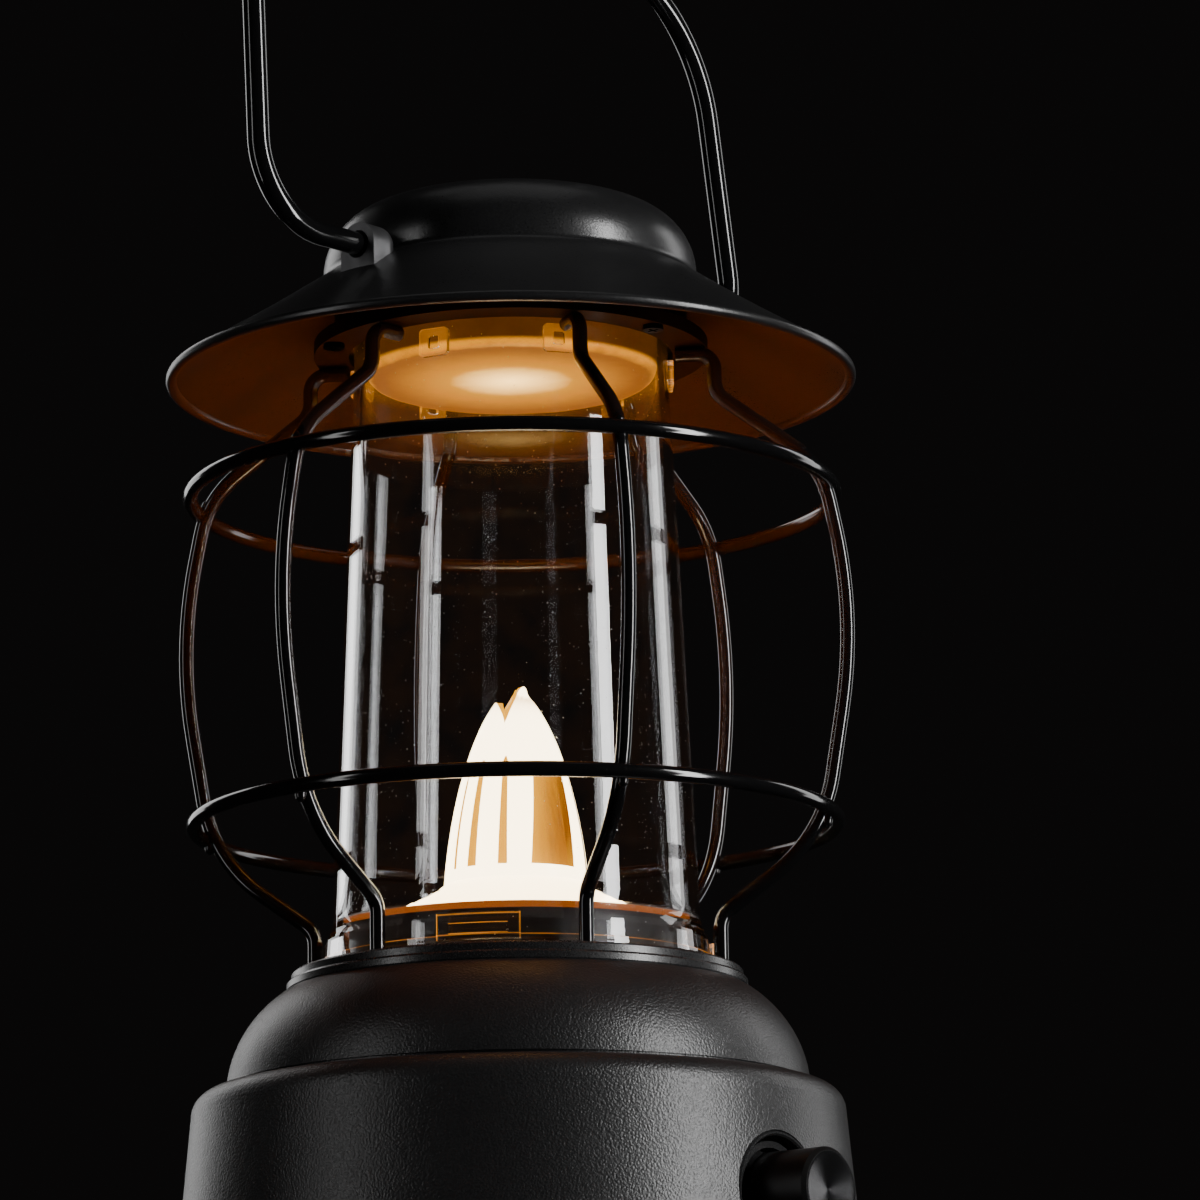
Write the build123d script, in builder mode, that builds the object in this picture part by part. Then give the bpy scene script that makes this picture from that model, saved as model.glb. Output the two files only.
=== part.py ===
from build123d import *
import os
from math import cos, radians, sin

os.makedirs("parts", exist_ok=True)

# Barn lantern with an LED flame.  Millimetres, +Z up.  The origin is the centre of the
# rubber foot's resting face, the dimmer knob looks along -Y and the handle pivots lie on X.

# ------------------------------------------------------------------ driving sizes
# base
seam_z = 60.0            # parting line between the lower body and the dome
seam_r = 57.9
body_r = 67.8            # widest radius of the lower body
body_bottom_z = 3.0
wall = 2.6
deck_z = 79.6            # flat top of the dome
deck_r = 45.9
rim_top_z = 83.3
foot_r = 50.0
foot_h = 2.6

# dimmer knob
knob_z = 34.0
knob_r = 8.2
knob_front_y = -78.0
knob_back_y = -63.6
recess_r = 12.4
shaft_r = 3.0

# charging port
port_z = 26.0
pocket_y = 65.2          # floor of the pocket that the flap closes
pocket_w = 20.0
pocket_h = 13.0

# flame module and chimney
platform_z = 92.4
platform_t = 1.6
flame_r = 14.6
flame_tip_z = 141.0
chimney_wall = 2.0
chimney_foot_r = 39.2
chimney_low_r = 36.8
chimney_top_r = 31.9
chimney_bottom_z = 80.4
chimney_top_z = 216.0

# wire cage
wire_d = 3.0
cage_count = 6
leg_r = 41.2             # radius of the wire legs where they enter the base
collar_wire_r = 41.8     # radius of the short upright under the top plate
plate_z = 209.8          # underside of the cage's top plate
plate_r = 40.0
ring_upper_r = 65.1
ring_upper_z = 180.3
ring_lower_r = 64.4
ring_lower_z = 113.1

# hat
brim_r = 70.0
brim_z = 204.6
crown_r = 38.0
crown_top_z = 240.2
crown_corner = 13.5
sheet = 1.2

# handle
handle_d = 4.6
pivot_z = 224.5
lug_front_x = 46.0
stub_x = 43.2            # inner end of the handle's pivot stubs
handle_tilt = 5.3        # lean of the hanging handle towards +Y, degrees

# fasteners and small plastics
screw_r = 1.4
screw_head_r = 2.8
screw_play = 0.1         # clearance of a screw in its through hole
screw_bite = 0.05        # pilot hole over screw radius
screw_len = 12.0
board_t = 1.6            # thickness of every circuit board
led_w, led_h, led_t = 3.5, 2.8, 0.9

# heights inside the base
boss_z = 5.2             # lower end of the bottom screw bosses
rib_z = 18.0             # lower end of the ribs that carry the control board
cover_z = 2.0            # underside of the bottom cover
tab_z = 54.6             # underside of the dome screw tabs
pipe_z = 40.0            # charge light

# levels of the flame module and the upper lamp
flame_board_z = 84.0
top_board_z = 221.0
diffuser_z = 204.6
diffuser_r = 29.7
diffuser_t = 1.8
shoulder_z = 207.0       # where the tapered tube turns straight
housing_top_z = 237.3
housing_t = 1.6
plate_screw_ring = 37.6


def save(part, name):
    """Label a finished piece and write it as parts/name.step."""
    part.label = name
    export_step(part, f"parts/{name}.step")


def meridian(angle):
    """Upright plane through the Z axis: local x points outwards, local y points up."""
    c, s = cos(radians(angle)), sin(radians(angle))
    return Plane(origin=(0, 0, 0), x_dir=(c, s, 0), z_dir=(s, -c, 0))


def facing(angle):
    """Upright plane through the Z axis that faces outwards at an angle."""
    c, s = cos(radians(angle)), sin(radians(angle))
    return Plane(origin=(0, 0, 0), x_dir=(-s, c, 0), z_dir=(c, s, 0))


def disc_ring(name, outer, inner, low, high):
    """Write a flat ring (or a disc, where inner is 0) between two heights."""
    with BuildPart() as ring:
        with BuildSketch(Plane.XY.offset(low)):
            Circle(outer)
            if inner:
                Circle(inner, mode=Mode.SUBTRACT)
        extrude(amount=high - low)
    save(ring.part, name)


# ================================================================== lower body
screw_ring_r = 57.5      # circle of the bottom screws
post_r = 51.0            # circle of the posts that carry the control board
board_z = 46.0
tab_r = 46.2             # circle of the screws that pull the dome down
tab_angles = (30, 150, 210, 330)

with BuildPart() as base_shell:
    with BuildSketch(Plane.XZ):
        with BuildLine():
            outside = FilletPolyline(
                (55.0, seam_z),
                (64.4, seam_z - 0.6),
                (body_r, 24.0),
                (66.4, body_bottom_z),
                (63.6, body_bottom_z),
                radius=[5.0, 30.0, 1.2],
            )
            Polyline(
                outside @ 1,
                (body_r - wall - 0.3, 22.0),
                (61.8, seam_z - 3.0),
                (55.0, seam_z - 2.6),
                outside @ 0,
            )
        make_face()
    revolve(axis=Axis.Z)
    # screw bosses, ribs and board posts at the four corners
    for angle in (45, 135, 225, 315):
        with BuildSketch(Plane.XY.offset(boss_z)):
            with PolarLocations(60.5, 1, start_angle=angle):
                Rectangle(9.0, 3.0)
            with PolarLocations(screw_ring_r, 1, start_angle=angle):
                Circle(3.5)
        extrude(amount=16.0)
        with BuildSketch(Plane.XY.offset(rib_z)):
            with PolarLocations(57.0, 1, start_angle=angle):
                Rectangle(13.0, 3.0)
            with PolarLocations(post_r, 1, start_angle=angle):
                Circle(3.2)
        extrude(amount=board_z - rib_z)
    # tabs for the dome screws
    for angle in tab_angles:
        with BuildSketch(Plane.XY.offset(tab_z)):
            with PolarLocations(50.5, 1, start_angle=angle):
                Rectangle(17.0, 10.0)
        extrude(amount=2.8)
        with BuildSketch(Plane.XY.offset(tab_z - 0.6)):
            with PolarLocations(tab_r, 1, start_angle=angle):
                Circle(screw_r + screw_play)
        extrude(amount=4.0, mode=Mode.SUBTRACT)
    # block behind the charging port
    with BuildSketch(Plane.XZ.offset(-60.5)):
        with Locations((0, port_z)):
            Rectangle(28.0, 20.0)
    extrude(amount=-5.0)
    # screw holes
    with BuildSketch(Plane.XY.offset(boss_z)):
        with PolarLocations(screw_ring_r, 4, start_angle=45):
            Circle(screw_r + screw_bite)
    extrude(amount=13.0, mode=Mode.SUBTRACT)
    with BuildSketch(Plane.XY.offset(board_z)):
        with PolarLocations(post_r, 4, start_angle=45):
            Circle(1.05)
    extrude(amount=-9.0, mode=Mode.SUBTRACT)
    # round opening for the knob's dish, at the front
    with BuildSketch(Plane.XZ.offset(56.0)):
        with Locations((0, knob_z)):
            Circle(recess_r)
    extrude(amount=20.0, mode=Mode.SUBTRACT)
    # pocket for the port flap, the port's mouth and the light pipe's hole, at the back
    with BuildSketch(Plane.XZ.offset(-pocket_y)):
        with Locations((0, port_z)):
            RectangleRounded(pocket_w, pocket_h, 2.6)
    extrude(amount=-8.0, mode=Mode.SUBTRACT)
    with BuildSketch(Plane.XZ.offset(-55.0)):
        with Locations((0, port_z)):
            RectangleRounded(9.6, 3.8, 1.8)
    extrude(amount=-12.0, mode=Mode.SUBTRACT)
    with BuildSketch(Plane.XZ.offset(-55.0)):
        with Locations((0, pipe_z)):
            Circle(1.15)
    extrude(amount=-16.0, mode=Mode.SUBTRACT)
save(base_shell.part, "base_shell")

# ------------------------------------------------------------------ bottom cover and foot
with BuildPart() as bottom_cover:
    with BuildSketch(Plane.XY.offset(cover_z)):
        Circle(63.2)
    extrude(amount=3.0)
    with BuildSketch(Plane.XY.offset(cover_z)):
        Circle(foot_r + 0.2)
    extrude(amount=foot_h - cover_z, mode=Mode.SUBTRACT)
    with BuildSketch(Plane.XY.offset(cover_z)):
        with PolarLocations(screw_ring_r, 4, start_angle=45):
            Circle(3.1)
    extrude(amount=2.0, mode=Mode.SUBTRACT)
    with BuildSketch(Plane.XY.offset(cover_z)):
        with PolarLocations(screw_ring_r, 4, start_angle=45):
            Circle(screw_r + screw_play)
    extrude(amount=3.0, mode=Mode.SUBTRACT)
save(bottom_cover.part, "bottom_cover")

with BuildPart() as rubber_foot:
    with BuildSketch():
        Circle(foot_r)
    extrude(amount=foot_h)
    for groove_r in (28.0, 36.0, 44.0):
        with BuildSketch():
            Circle(groove_r + 1.0)
            Circle(groove_r - 1.0, mode=Mode.SUBTRACT)
        extrude(amount=0.8, mode=Mode.SUBTRACT)
    resting_edges = rubber_foot.edges().filter_by(GeomType.CIRCLE).group_by(Axis.Z)[0]
    chamfer(resting_edges.sort_by(SortBy.LENGTH)[-1], 0.5)
save(rubber_foot.part, "rubber_foot")

with BuildPart() as bottom_screws:
    with BuildSketch(Plane.XY.offset(2.4)):
        with PolarLocations(screw_ring_r, 4, start_angle=45):
            Circle(screw_head_r)
    extrude(amount=1.6)
    with BuildSketch(Plane.XY.offset(4.0)):
        with PolarLocations(screw_ring_r, 4, start_angle=45):
            Circle(screw_r)
    extrude(amount=screw_len)
    with BuildSketch(Plane.XY.offset(2.4)):
        with PolarLocations(screw_ring_r, 4, start_angle=45):
            Rectangle(3.4, 0.7)
            Rectangle(0.7, 3.4)
    extrude(amount=0.9, mode=Mode.SUBTRACT)
save(bottom_screws.part, "bottom_screws")

# ================================================================== dome and rim
dome_arc_r = 24.5
dome_centre_r = 33.47
dome_centre_z = 58.45
dome_wall = 2.4
dome_inner_r = dome_arc_r - dome_wall
side_x, side_z = cos(radians(28)), sin(radians(28))
dome_side = (dome_centre_r + dome_arc_r * side_x, dome_centre_z + dome_arc_r * side_z)
dome_inner_side = (dome_centre_r + dome_inner_r * side_x, dome_centre_z + dome_inner_r * side_z)

with BuildPart() as base_dome:
    with BuildSketch(Plane.XZ):
        with BuildLine():
            Polyline(
                (55.5, seam_z),
                (seam_r - 0.6, seam_z),
                (seam_r - 0.6, seam_z + 0.5),
                (seam_r, seam_z + 0.5),
            )
            ThreePointArc((seam_r, seam_z + 0.5), dome_side, (deck_r, deck_z))
            Polyline(
                (deck_r, deck_z),
                (28.0, deck_z),
                (28.0, deck_z - dome_wall),
                (45.1, deck_z - dome_wall),
            )
            ThreePointArc((45.1, deck_z - dome_wall), dome_inner_side, (55.5, seam_z))
        make_face()
    revolve(axis=Axis.Z)
    # locating spigot inside the lower body's neck
    with BuildSketch(Plane.XZ):
        with BuildLine():
            Polyline(
                (52.6, seam_z - 2.4),
                (54.7, seam_z - 2.4),
                (54.7, seam_z),
                (56.4, seam_z),
                (56.4, seam_z + 2.6),
                (52.6, seam_z + 2.6),
                close=True,
            )
        make_face()
    revolve(axis=Axis.Z)
    # screw bosses under the deck
    for angle in tab_angles:
        with BuildSketch(Plane.XY.offset(tab_z + 2.9)):
            with PolarLocations(tab_r, 1, start_angle=angle):
                Circle(3.3)
        extrude(amount=18.0)
        with BuildSketch(Plane.XY.offset(tab_z + 2.9)):
            with PolarLocations(tab_r, 1, start_angle=angle):
                Circle(screw_r + screw_bite)
        extrude(amount=screw_len, mode=Mode.SUBTRACT)
    # holes for the legs of the cage
    with BuildSketch(Plane.XY.offset(deck_z - 4.0)):
        with PolarLocations(leg_r, cage_count, start_angle=0):
            Circle(wire_d / 2 + 0.1)
    extrude(amount=6.0, mode=Mode.SUBTRACT)
save(base_dome.part, "base_dome")

with BuildPart() as base_rim_ring:
    with BuildSketch(Plane.XZ):
        with BuildLine():
            Polyline(
                (40.4, deck_z),
                (deck_r - 0.2, deck_z),
                (deck_r, deck_z + 0.3),
                (deck_r, deck_z + 1.5),
                (deck_r - 0.3, deck_z + 1.9),
                (deck_r - 0.9, deck_z + 1.9),
                (deck_r - 0.9, rim_top_z - 0.4),
                (deck_r - 1.3, rim_top_z),
                (43.4, rim_top_z),
                (43.2, rim_top_z - 0.2),
                (43.2, deck_z + 1.6),
                (40.4, deck_z + 1.6),
                close=True,
            )
        make_face()
    revolve(axis=Axis.Z)
    with BuildSketch(Plane.XY.offset(deck_z)):
        with PolarLocations(leg_r, cage_count, start_angle=0):
            Circle(wire_d / 2 + 0.1)
    extrude(amount=4.0, mode=Mode.SUBTRACT)
save(base_rim_ring.part, "base_rim_ring")

with BuildPart() as dome_screws:
    for angle in tab_angles:
        with BuildSketch(Plane.XY.offset(tab_z - 1.6)):
            with PolarLocations(tab_r, 1, start_angle=angle):
                Circle(screw_head_r)
        extrude(amount=1.6)
        with BuildSketch(Plane.XY.offset(tab_z)):
            with PolarLocations(tab_r, 1, start_angle=angle):
                Circle(screw_r)
        extrude(amount=screw_len)
save(dome_screws.part, "dome_screws")

# ================================================================== power unit
cell_r = 10.6
cell_len = 70.0
cell_z = 18.5
cell_y = 11.2

with BuildPart() as battery_holder:
    with BuildSketch(Plane.XY.offset(5.0)):
        Rectangle(79.0, 48.0)
    extrude(amount=2.8)
    with BuildSketch(Plane.XY.offset(7.8)):
        with Locations((-38.3, 0), (38.3, 0)):
            Rectangle(2.4, 48.0)
        Rectangle(79.0, 0.8)
    extrude(amount=14.0)
save(battery_holder.part, "battery_holder")

for number, side in ((1, -1), (2, 1)):
    with BuildPart() as battery_cell:
        with BuildSketch(Plane.YZ.offset(-cell_len / 2)):
            with Locations((side * cell_y, cell_z)):
                Circle(cell_r)
        extrude(amount=cell_len - 1.2)
        with BuildSketch(Plane.YZ.offset(cell_len / 2 - 1.2)):
            with Locations((side * cell_y, cell_z)):
                Circle(3.2)
        extrude(amount=1.2)
    save(battery_cell.part, f"battery_cell_{number}")

board_r = 55.0
board_top = board_z + board_t

with BuildPart() as control_board:
    with BuildSketch(Plane.XY.offset(board_z)):
        Circle(board_r)
        with PolarLocations(post_r, 4, start_angle=45):
            Circle(1.3, mode=Mode.SUBTRACT)
    extrude(amount=board_t)
save(control_board.part, "control_board")

with BuildPart() as board_parts:
    with BuildSketch(Plane.XY.offset(board_top)):
        with Locations((-18, 12)):
            Circle(5.0)
        with Locations((-4, 16)):
            RectangleRounded(10.0, 10.0, 1.0)
    extrude(amount=5.0)
    with BuildSketch(Plane.XY.offset(board_top)):
        with Locations((16, 14), (26, 14)):
            Circle(4.0)
    extrude(amount=6.0)
    with BuildSketch(Plane.XY.offset(board_top)):
        with Locations((8, -14), (-14, -12)):
            Rectangle(9.0, 9.0)
        with Locations((-34, 0), (34, -4)):
            Rectangle(5.0, 8.0)
    extrude(amount=1.5)
save(board_parts.part, "board_parts")

with BuildPart() as board_screws:
    with BuildSketch(Plane.XY.offset(board_top)):
        with PolarLocations(post_r, 4, start_angle=45):
            Circle(2.0)
    extrude(amount=1.2)
    with BuildSketch(Plane.XY.offset(board_top)):
        with PolarLocations(post_r, 4, start_angle=45):
            Circle(1.0)
    extrude(amount=-8.0)
save(board_screws.part, "board_screws")

lead_d = 1.6
with BuildPart() as battery_leads:
    for side in (-1, 1):
        with BuildLine() as lead_path:
            FilletPolyline(
                (39.5, side * cell_y, cell_z),
                (46.5, side * cell_y, cell_z),
                (46.5, side * cell_y, board_z),
                radius=4.0,
            )
        with BuildSketch(Plane(origin=lead_path.line @ 0, z_dir=lead_path.line % 0)):
            Circle(lead_d / 2)
        sweep(path=lead_path.line)
save(battery_leads.part, "battery_leads")

# ------------------------------------------------------------------ charging port
with BuildPart() as charge_board:
    with BuildSketch(Plane.XY.offset(22.9)):
        with Locations((0, 50.5)):
            Rectangle(26.0, 19.0)
    extrude(amount=1.2)
save(charge_board.part, "charge_board")

with BuildPart() as usb_port:
    with BuildSketch(Plane.XZ.offset(-56.0)):
        with Locations((0, port_z)):
            RectangleRounded(9.0, 3.4, 1.6)
            RectangleRounded(8.3, 2.7, 1.3, mode=Mode.SUBTRACT)
    extrude(amount=-8.8)
    with BuildSketch(Plane.XZ.offset(-56.0)):
        with Locations((0, port_z)):
            RectangleRounded(8.3, 2.7, 1.3)
    extrude(amount=-1.0)
    with BuildSketch(Plane.XZ.offset(-57.0)):
        with Locations((0, port_z)):
            Rectangle(6.6, 0.7)
    extrude(amount=-6.0)
    with BuildSketch(Plane.XY.offset(24.1)):
        with Locations((-3.6, 58.0), (3.6, 58.0)):
            Rectangle(1.0, 2.0)
    extrude(amount=0.6)
save(usb_port.part, "usb_port")

with BuildPart() as charge_light_pipe:
    with BuildSketch(Plane.XZ.offset(-60.0)):
        with Locations((0, pipe_z)):
            Circle(1.1)
    extrude(amount=-6.4)
    with BuildSketch(Plane.XZ.offset(-59.0)):
        with Locations((0, pipe_z)):
            Circle(2.0)
    extrude(amount=-1.4)
save(charge_light_pipe.part, "charge_light_pipe")

flap_y = 65.5
flap_t = 1.7
flap_w = 19.2
flap_h = 12.2
with BuildPart() as port_cover:
    with BuildSketch(Plane.XZ.offset(-flap_y)):
        with Locations((0, port_z)):
            RectangleRounded(flap_w, flap_h, 2.2)
    extrude(amount=-flap_t)
    with BuildSketch(Plane.XZ.offset(-64.2)):
        with Locations((0, port_z - 0.2)):
            RectangleRounded(7.4, 1.4, 0.6)
    extrude(amount=-1.4)
    # thumb notch on the upper edge
    with BuildSketch(Plane.XZ.offset(-(flap_y + flap_t - 0.5))):
        with Locations((0, port_z + flap_h / 2 - 1.6)):
            RectangleRounded(6.0, 1.6, 0.7)
    extrude(amount=-1.0, mode=Mode.SUBTRACT)
save(port_cover.part, "port_cover")

# ------------------------------------------------------------------ dimmer and knob
dish_back = 58.5
dish_floor = 60.5
bush_r = 3.6
with BuildPart() as knob_dish:
    with BuildSketch(Plane.XZ.offset(dish_back)):
        with Locations((0, knob_z)):
            Circle(14.0)
            Circle(bush_r + 0.1, mode=Mode.SUBTRACT)
    extrude(amount=1.5)
    with BuildSketch(Plane.XZ.offset(dish_floor - 0.5)):
        with Locations((0, knob_z)):
            Circle(recess_r - 0.1)
            Circle(bush_r + 0.1, mode=Mode.SUBTRACT)
    extrude(amount=0.5)
    with BuildSketch(Plane.XZ.offset(dish_floor)):
        with Locations((0, knob_z)):
            Circle(recess_r - 0.1)
            Circle(recess_r - 1.1, mode=Mode.SUBTRACT)
    extrude(amount=5.2)
    with BuildSketch(Plane.XZ.offset(dish_floor)):
        with Locations((0, knob_z)):
            Circle(10.4)
            Circle(9.1, mode=Mode.SUBTRACT)
    extrude(amount=3.2)
    rims = knob_dish.edges().filter_by(GeomType.CIRCLE).group_by(Axis.Y)
    chamfer(rims[0], 0.35)
save(knob_dish.part, "knob_dish")

with BuildPart() as dimmer_body:
    with BuildSketch(Plane.XZ.offset(dish_back - 8.0)):
        with Locations((0, knob_z)):
            Circle(8.5)
            Circle(shaft_r + 0.06, mode=Mode.SUBTRACT)
    extrude(amount=8.0)
    with BuildSketch(Plane.XZ.offset(dish_back)):
        with Locations((0, knob_z)):
            Circle(bush_r)
            Circle(shaft_r + 0.06, mode=Mode.SUBTRACT)
    extrude(amount=4.6)
    with BuildSketch(Plane.XZ.offset(dish_back - 9.5)):
        with Locations((0, knob_z)):
            Circle(8.5)
    extrude(amount=1.5)
    with BuildSketch(Plane.XZ.offset(dish_back - 9.5)):
        with Locations((-4.0, knob_z + 9.25), (0, knob_z + 9.25), (4.0, knob_z + 9.25)):
            Rectangle(1.2, 5.5)
    extrude(amount=1.0)
save(dimmer_body.part, "dimmer_body")

with BuildPart() as dimmer_nut:
    with BuildSketch(Plane.XZ.offset(dish_floor)):
        with Locations((0, knob_z)):
            RegularPolygon(5.6, 6)
            Circle(bush_r + 0.05, mode=Mode.SUBTRACT)
    extrude(amount=2.0)
save(dimmer_nut.part, "dimmer_nut")

with BuildPart() as dimmer_shaft:
    with BuildSketch(Plane.XZ.offset(51.0)):
        with Locations((0, knob_z)):
            Circle(shaft_r)
    extrude(amount=-knob_back_y - 51.0)
    with BuildSketch(Plane.XZ.offset(-knob_back_y)):
        with Locations((0, knob_z)):
            Circle(shaft_r)
        with Locations((0, knob_z + shaft_r)):
            Rectangle(2 * shaft_r, 1.6, mode=Mode.SUBTRACT)
    extrude(amount=8.0)
save(dimmer_shaft.part, "dimmer_shaft")

cap_seat_r = 7.3
cap_seat = 1.2
with BuildPart() as knob:
    with BuildSketch(Plane.XZ.offset(-knob_back_y)):
        with Locations((0, knob_z)):
            Circle(knob_r)
    extrude(amount=knob_back_y - knob_front_y)
    front_rim = knob.edges().filter_by(GeomType.CIRCLE).group_by(Axis.Y)[0]
    chamfer(front_rim, 0.7)
    back_rim = knob.edges().filter_by(GeomType.CIRCLE).group_by(Axis.Y)[-1]
    chamfer(back_rim, 0.4)
    with BuildSketch(Plane.XZ.offset(-knob_front_y)):
        with Locations((0, knob_z)):
            Circle(cap_seat_r)
    extrude(amount=-cap_seat, mode=Mode.SUBTRACT)
    with BuildSketch(Plane.XZ.offset(-knob_back_y)):
        with Locations((0, knob_z)):
            Circle(shaft_r)
        with Locations((0, knob_z + shaft_r)):
            Rectangle(2 * shaft_r, 1.6, mode=Mode.SUBTRACT)
    extrude(amount=8.0, mode=Mode.SUBTRACT)
save(knob.part, "knob")

with BuildPart() as knob_cap:
    with BuildSketch(Plane.XZ.offset(-knob_front_y - cap_seat)):
        with Locations((0, knob_z)):
            Circle(cap_seat_r)
    extrude(amount=cap_seat)
    # shallow dished face
    with Locations(Location((0, knob_front_y - 0.01, knob_z), (90, 0, 0))):
        Cone(
            bottom_radius=0.05,
            top_radius=6.9,
            height=0.8,
            mode=Mode.SUBTRACT,
            align=(Align.CENTER, Align.CENTER, Align.MAX),
        )
save(knob_cap.part, "knob_cap")

# ================================================================== flame module
with BuildPart() as flame_base:
    with BuildSketch(Plane.XZ):
        with BuildLine():
            Polyline(
                (2.5, deck_z),
                (33.2, deck_z),
                (33.2, platform_z - platform_t),
                (31.0, platform_z - platform_t),
                (31.0, flame_board_z),
                (2.5, flame_board_z),
                close=True,
            )
        make_face()
    revolve(axis=Axis.Z)
    with BuildSketch(Plane.XY.offset(deck_z)):
        Circle(27.8)
        Circle(25.8, mode=Mode.SUBTRACT)
    extrude(amount=-3.6)
save(flame_base.part, "flame_base")

with BuildPart() as flame_board:
    with BuildSketch(Plane.XY.offset(flame_board_z)):
        Circle(28.0)
        Circle(2.5, mode=Mode.SUBTRACT)
    extrude(amount=board_t)
save(flame_board.part, "flame_board")

with BuildPart() as flame_leds:
    with BuildSketch(Plane.XY.offset(flame_board_z + board_t)):
        with PolarLocations(9.0, 8):
            RectangleRounded(led_w, led_h, 0.3)
    extrude(amount=led_t)
save(flame_leds.part, "flame_leds")

disc_ring("flame_platform", 34.2, 12.0, platform_z - platform_t, platform_z)

dome_ball_r = 25.2
dome_ball_z = 105.3 - dome_ball_r
dome_ball_inner = dome_ball_r - 1.6
dome_foot_h = platform_z - dome_ball_z
with BuildPart() as flame_dome:
    with BuildSketch(Plane.XZ):
        with BuildLine():
            low_out = (dome_ball_r**2 - dome_foot_h**2) ** 0.5
            low_in = (dome_ball_inner**2 - dome_foot_h**2) ** 0.5
            mid = radians(60)
            Line((low_in, platform_z), (low_out, platform_z))
            ThreePointArc(
                (low_out, platform_z),
                (dome_ball_r * cos(mid), dome_ball_z + dome_ball_r * sin(mid)),
                (0, dome_ball_z + dome_ball_r),
            )
            Line((0, dome_ball_z + dome_ball_r), (0, dome_ball_z + dome_ball_inner))
            ThreePointArc(
                (0, dome_ball_z + dome_ball_inner),
                (dome_ball_inner * cos(mid), dome_ball_z + dome_ball_inner * sin(mid)),
                (low_in, platform_z),
            )
        make_face()
    revolve(axis=Axis.Z)
save(flame_dome.part, "flame_dome")

# a hollow flame: pointed shell, slotted into upright petals, split at the tip
slot_list = (
    (-95, 1.3),
    (-63, 1.5),
    (-11, 6.2),
    (40, 1.5),
    (76, 1.3),
    (110, 6.2),
    (150, 1.5),
    (190, 1.3),
    (230, 5.0),
)
with BuildPart() as flame_guide:
    with BuildSketch(Plane.XZ):
        with BuildLine():
            Spline((flame_r, 97.0), (13.6, 108.0), (11.4, 121.0), (7.4, 132.0), (0, flame_tip_z))
            Line((0, flame_tip_z), (0, 134.6))
            Spline((0, 134.6), (6.0, 127.5), (9.4, 119.0), (11.5, 108.0), (12.4, 97.0))
            Line((12.4, 97.0), (flame_r, 97.0))
        make_face()
    revolve(axis=Axis.Z)
    # the foot follows the glowing dome
    with Locations((0, 0, dome_ball_z)):
        Sphere(dome_ball_r, mode=Mode.SUBTRACT)
    for angle, width in slot_list:
        with BuildSketch(meridian(angle)):
            with Locations((12.0, 115.0)):
                RectangleRounded(12.0, 20.0 if width > 2 else 23.0, 0.6)
        extrude(amount=width / 2, both=True, mode=Mode.SUBTRACT)
    for angle in (-63, 57, 177):
        with BuildSketch(meridian(angle)):
            with BuildLine():
                Polyline(
                    (-0.6, 150.0),
                    (-0.6, 136.6),
                    (3.0, 131.2),
                    (14.0, 131.2),
                    (14.0, 150.0),
                    close=True,
                )
            make_face()
        extrude(amount=0.8, both=True, mode=Mode.SUBTRACT)
save(flame_guide.part, "flame_light_guide")

# ================================================================== chimney
flange_z = 85.5
tab_inner_r = 37.6
tab_outer_r = 39.9
tab_sweep = 24.0
with BuildPart() as chimney:
    with BuildSketch(Plane.XZ):
        with BuildLine():
            Polyline(
                (chimney_low_r - chimney_wall, chimney_bottom_z),
                (chimney_foot_r, chimney_bottom_z),
                (chimney_foot_r, flange_z),
                (chimney_foot_r - 0.6, flange_z + 0.2),
                (chimney_foot_r - 0.9, 89.2),
            )
            ThreePointArc((chimney_foot_r - 0.9, 89.2), (37.1, 91.6), (chimney_low_r - 0.2, 95.0))
            Polyline(
                (chimney_low_r - 0.2, 95.0),
                (chimney_top_r, shoulder_z),
                (chimney_top_r, chimney_top_z),
                (chimney_top_r - chimney_wall + 0.1, chimney_top_z),
                (chimney_top_r - chimney_wall + 0.1, shoulder_z),
                (chimney_low_r - chimney_wall, 93.0),
                (chimney_low_r - chimney_wall, chimney_bottom_z),
            )
        make_face()
    revolve(axis=Axis.Z)
    # three bayonet tabs, each with a sunk window
    for angle in (90, 210, 330):
        with BuildSketch(Plane.XY.rotated((0, 0, angle - tab_sweep / 2)).offset(flange_z - 1.0)):
            with BuildLine():
                CenterArc((0, 0), tab_outer_r, 0, tab_sweep)
                CenterArc((0, 0), tab_inner_r, 0, tab_sweep)
                Line((tab_inner_r, 0), (tab_outer_r, 0))
                Line(
                    (tab_inner_r * cos(radians(tab_sweep)), tab_inner_r * sin(radians(tab_sweep))),
                    (tab_outer_r * cos(radians(tab_sweep)), tab_outer_r * sin(radians(tab_sweep))),
                )
            make_face()
        extrude(amount=5.2)
        with BuildSketch(facing(angle).offset(tab_outer_r - 1.0)):
            with Locations((0, 86.7)):
                Rectangle(11.4, 1.7)
        extrude(amount=3.0, mode=Mode.SUBTRACT)
    # three pairs of snap lugs below the collar
    for angle in (73, 118, 193, 238, 313, 358):
        with BuildSketch(facing(angle).offset(chimney_top_r - 0.7)):
            with Locations((0, 205.8)):
                RectangleRounded(6.2, 5.6, 0.8)
                RectangleRounded(2.4, 2.6, 0.5, mode=Mode.SUBTRACT)
        extrude(amount=1.7)
save(chimney.part, "chimney")

disc_ring("chimney_gasket", 39.0, 34.9, deck_z, chimney_bottom_z)
disc_ring("top_gasket", 34.1, 32.0, 212.0, 215.5)

# ================================================================== wire cage
wire_points = [
    (34.0, plate_z - wire_d / 2),
    (collar_wire_r, plate_z - wire_d / 2),
    (collar_wire_r, 200.0),
    (63.3, 183.7),
    (69.5, 152.4),
    (62.2, 108.7),
    (leg_r, 93.3),
    (leg_r, 72.0),
]
wire_bends = [3.5, 5.0, 20.0, 103.0, 30.0, 5.0]

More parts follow.
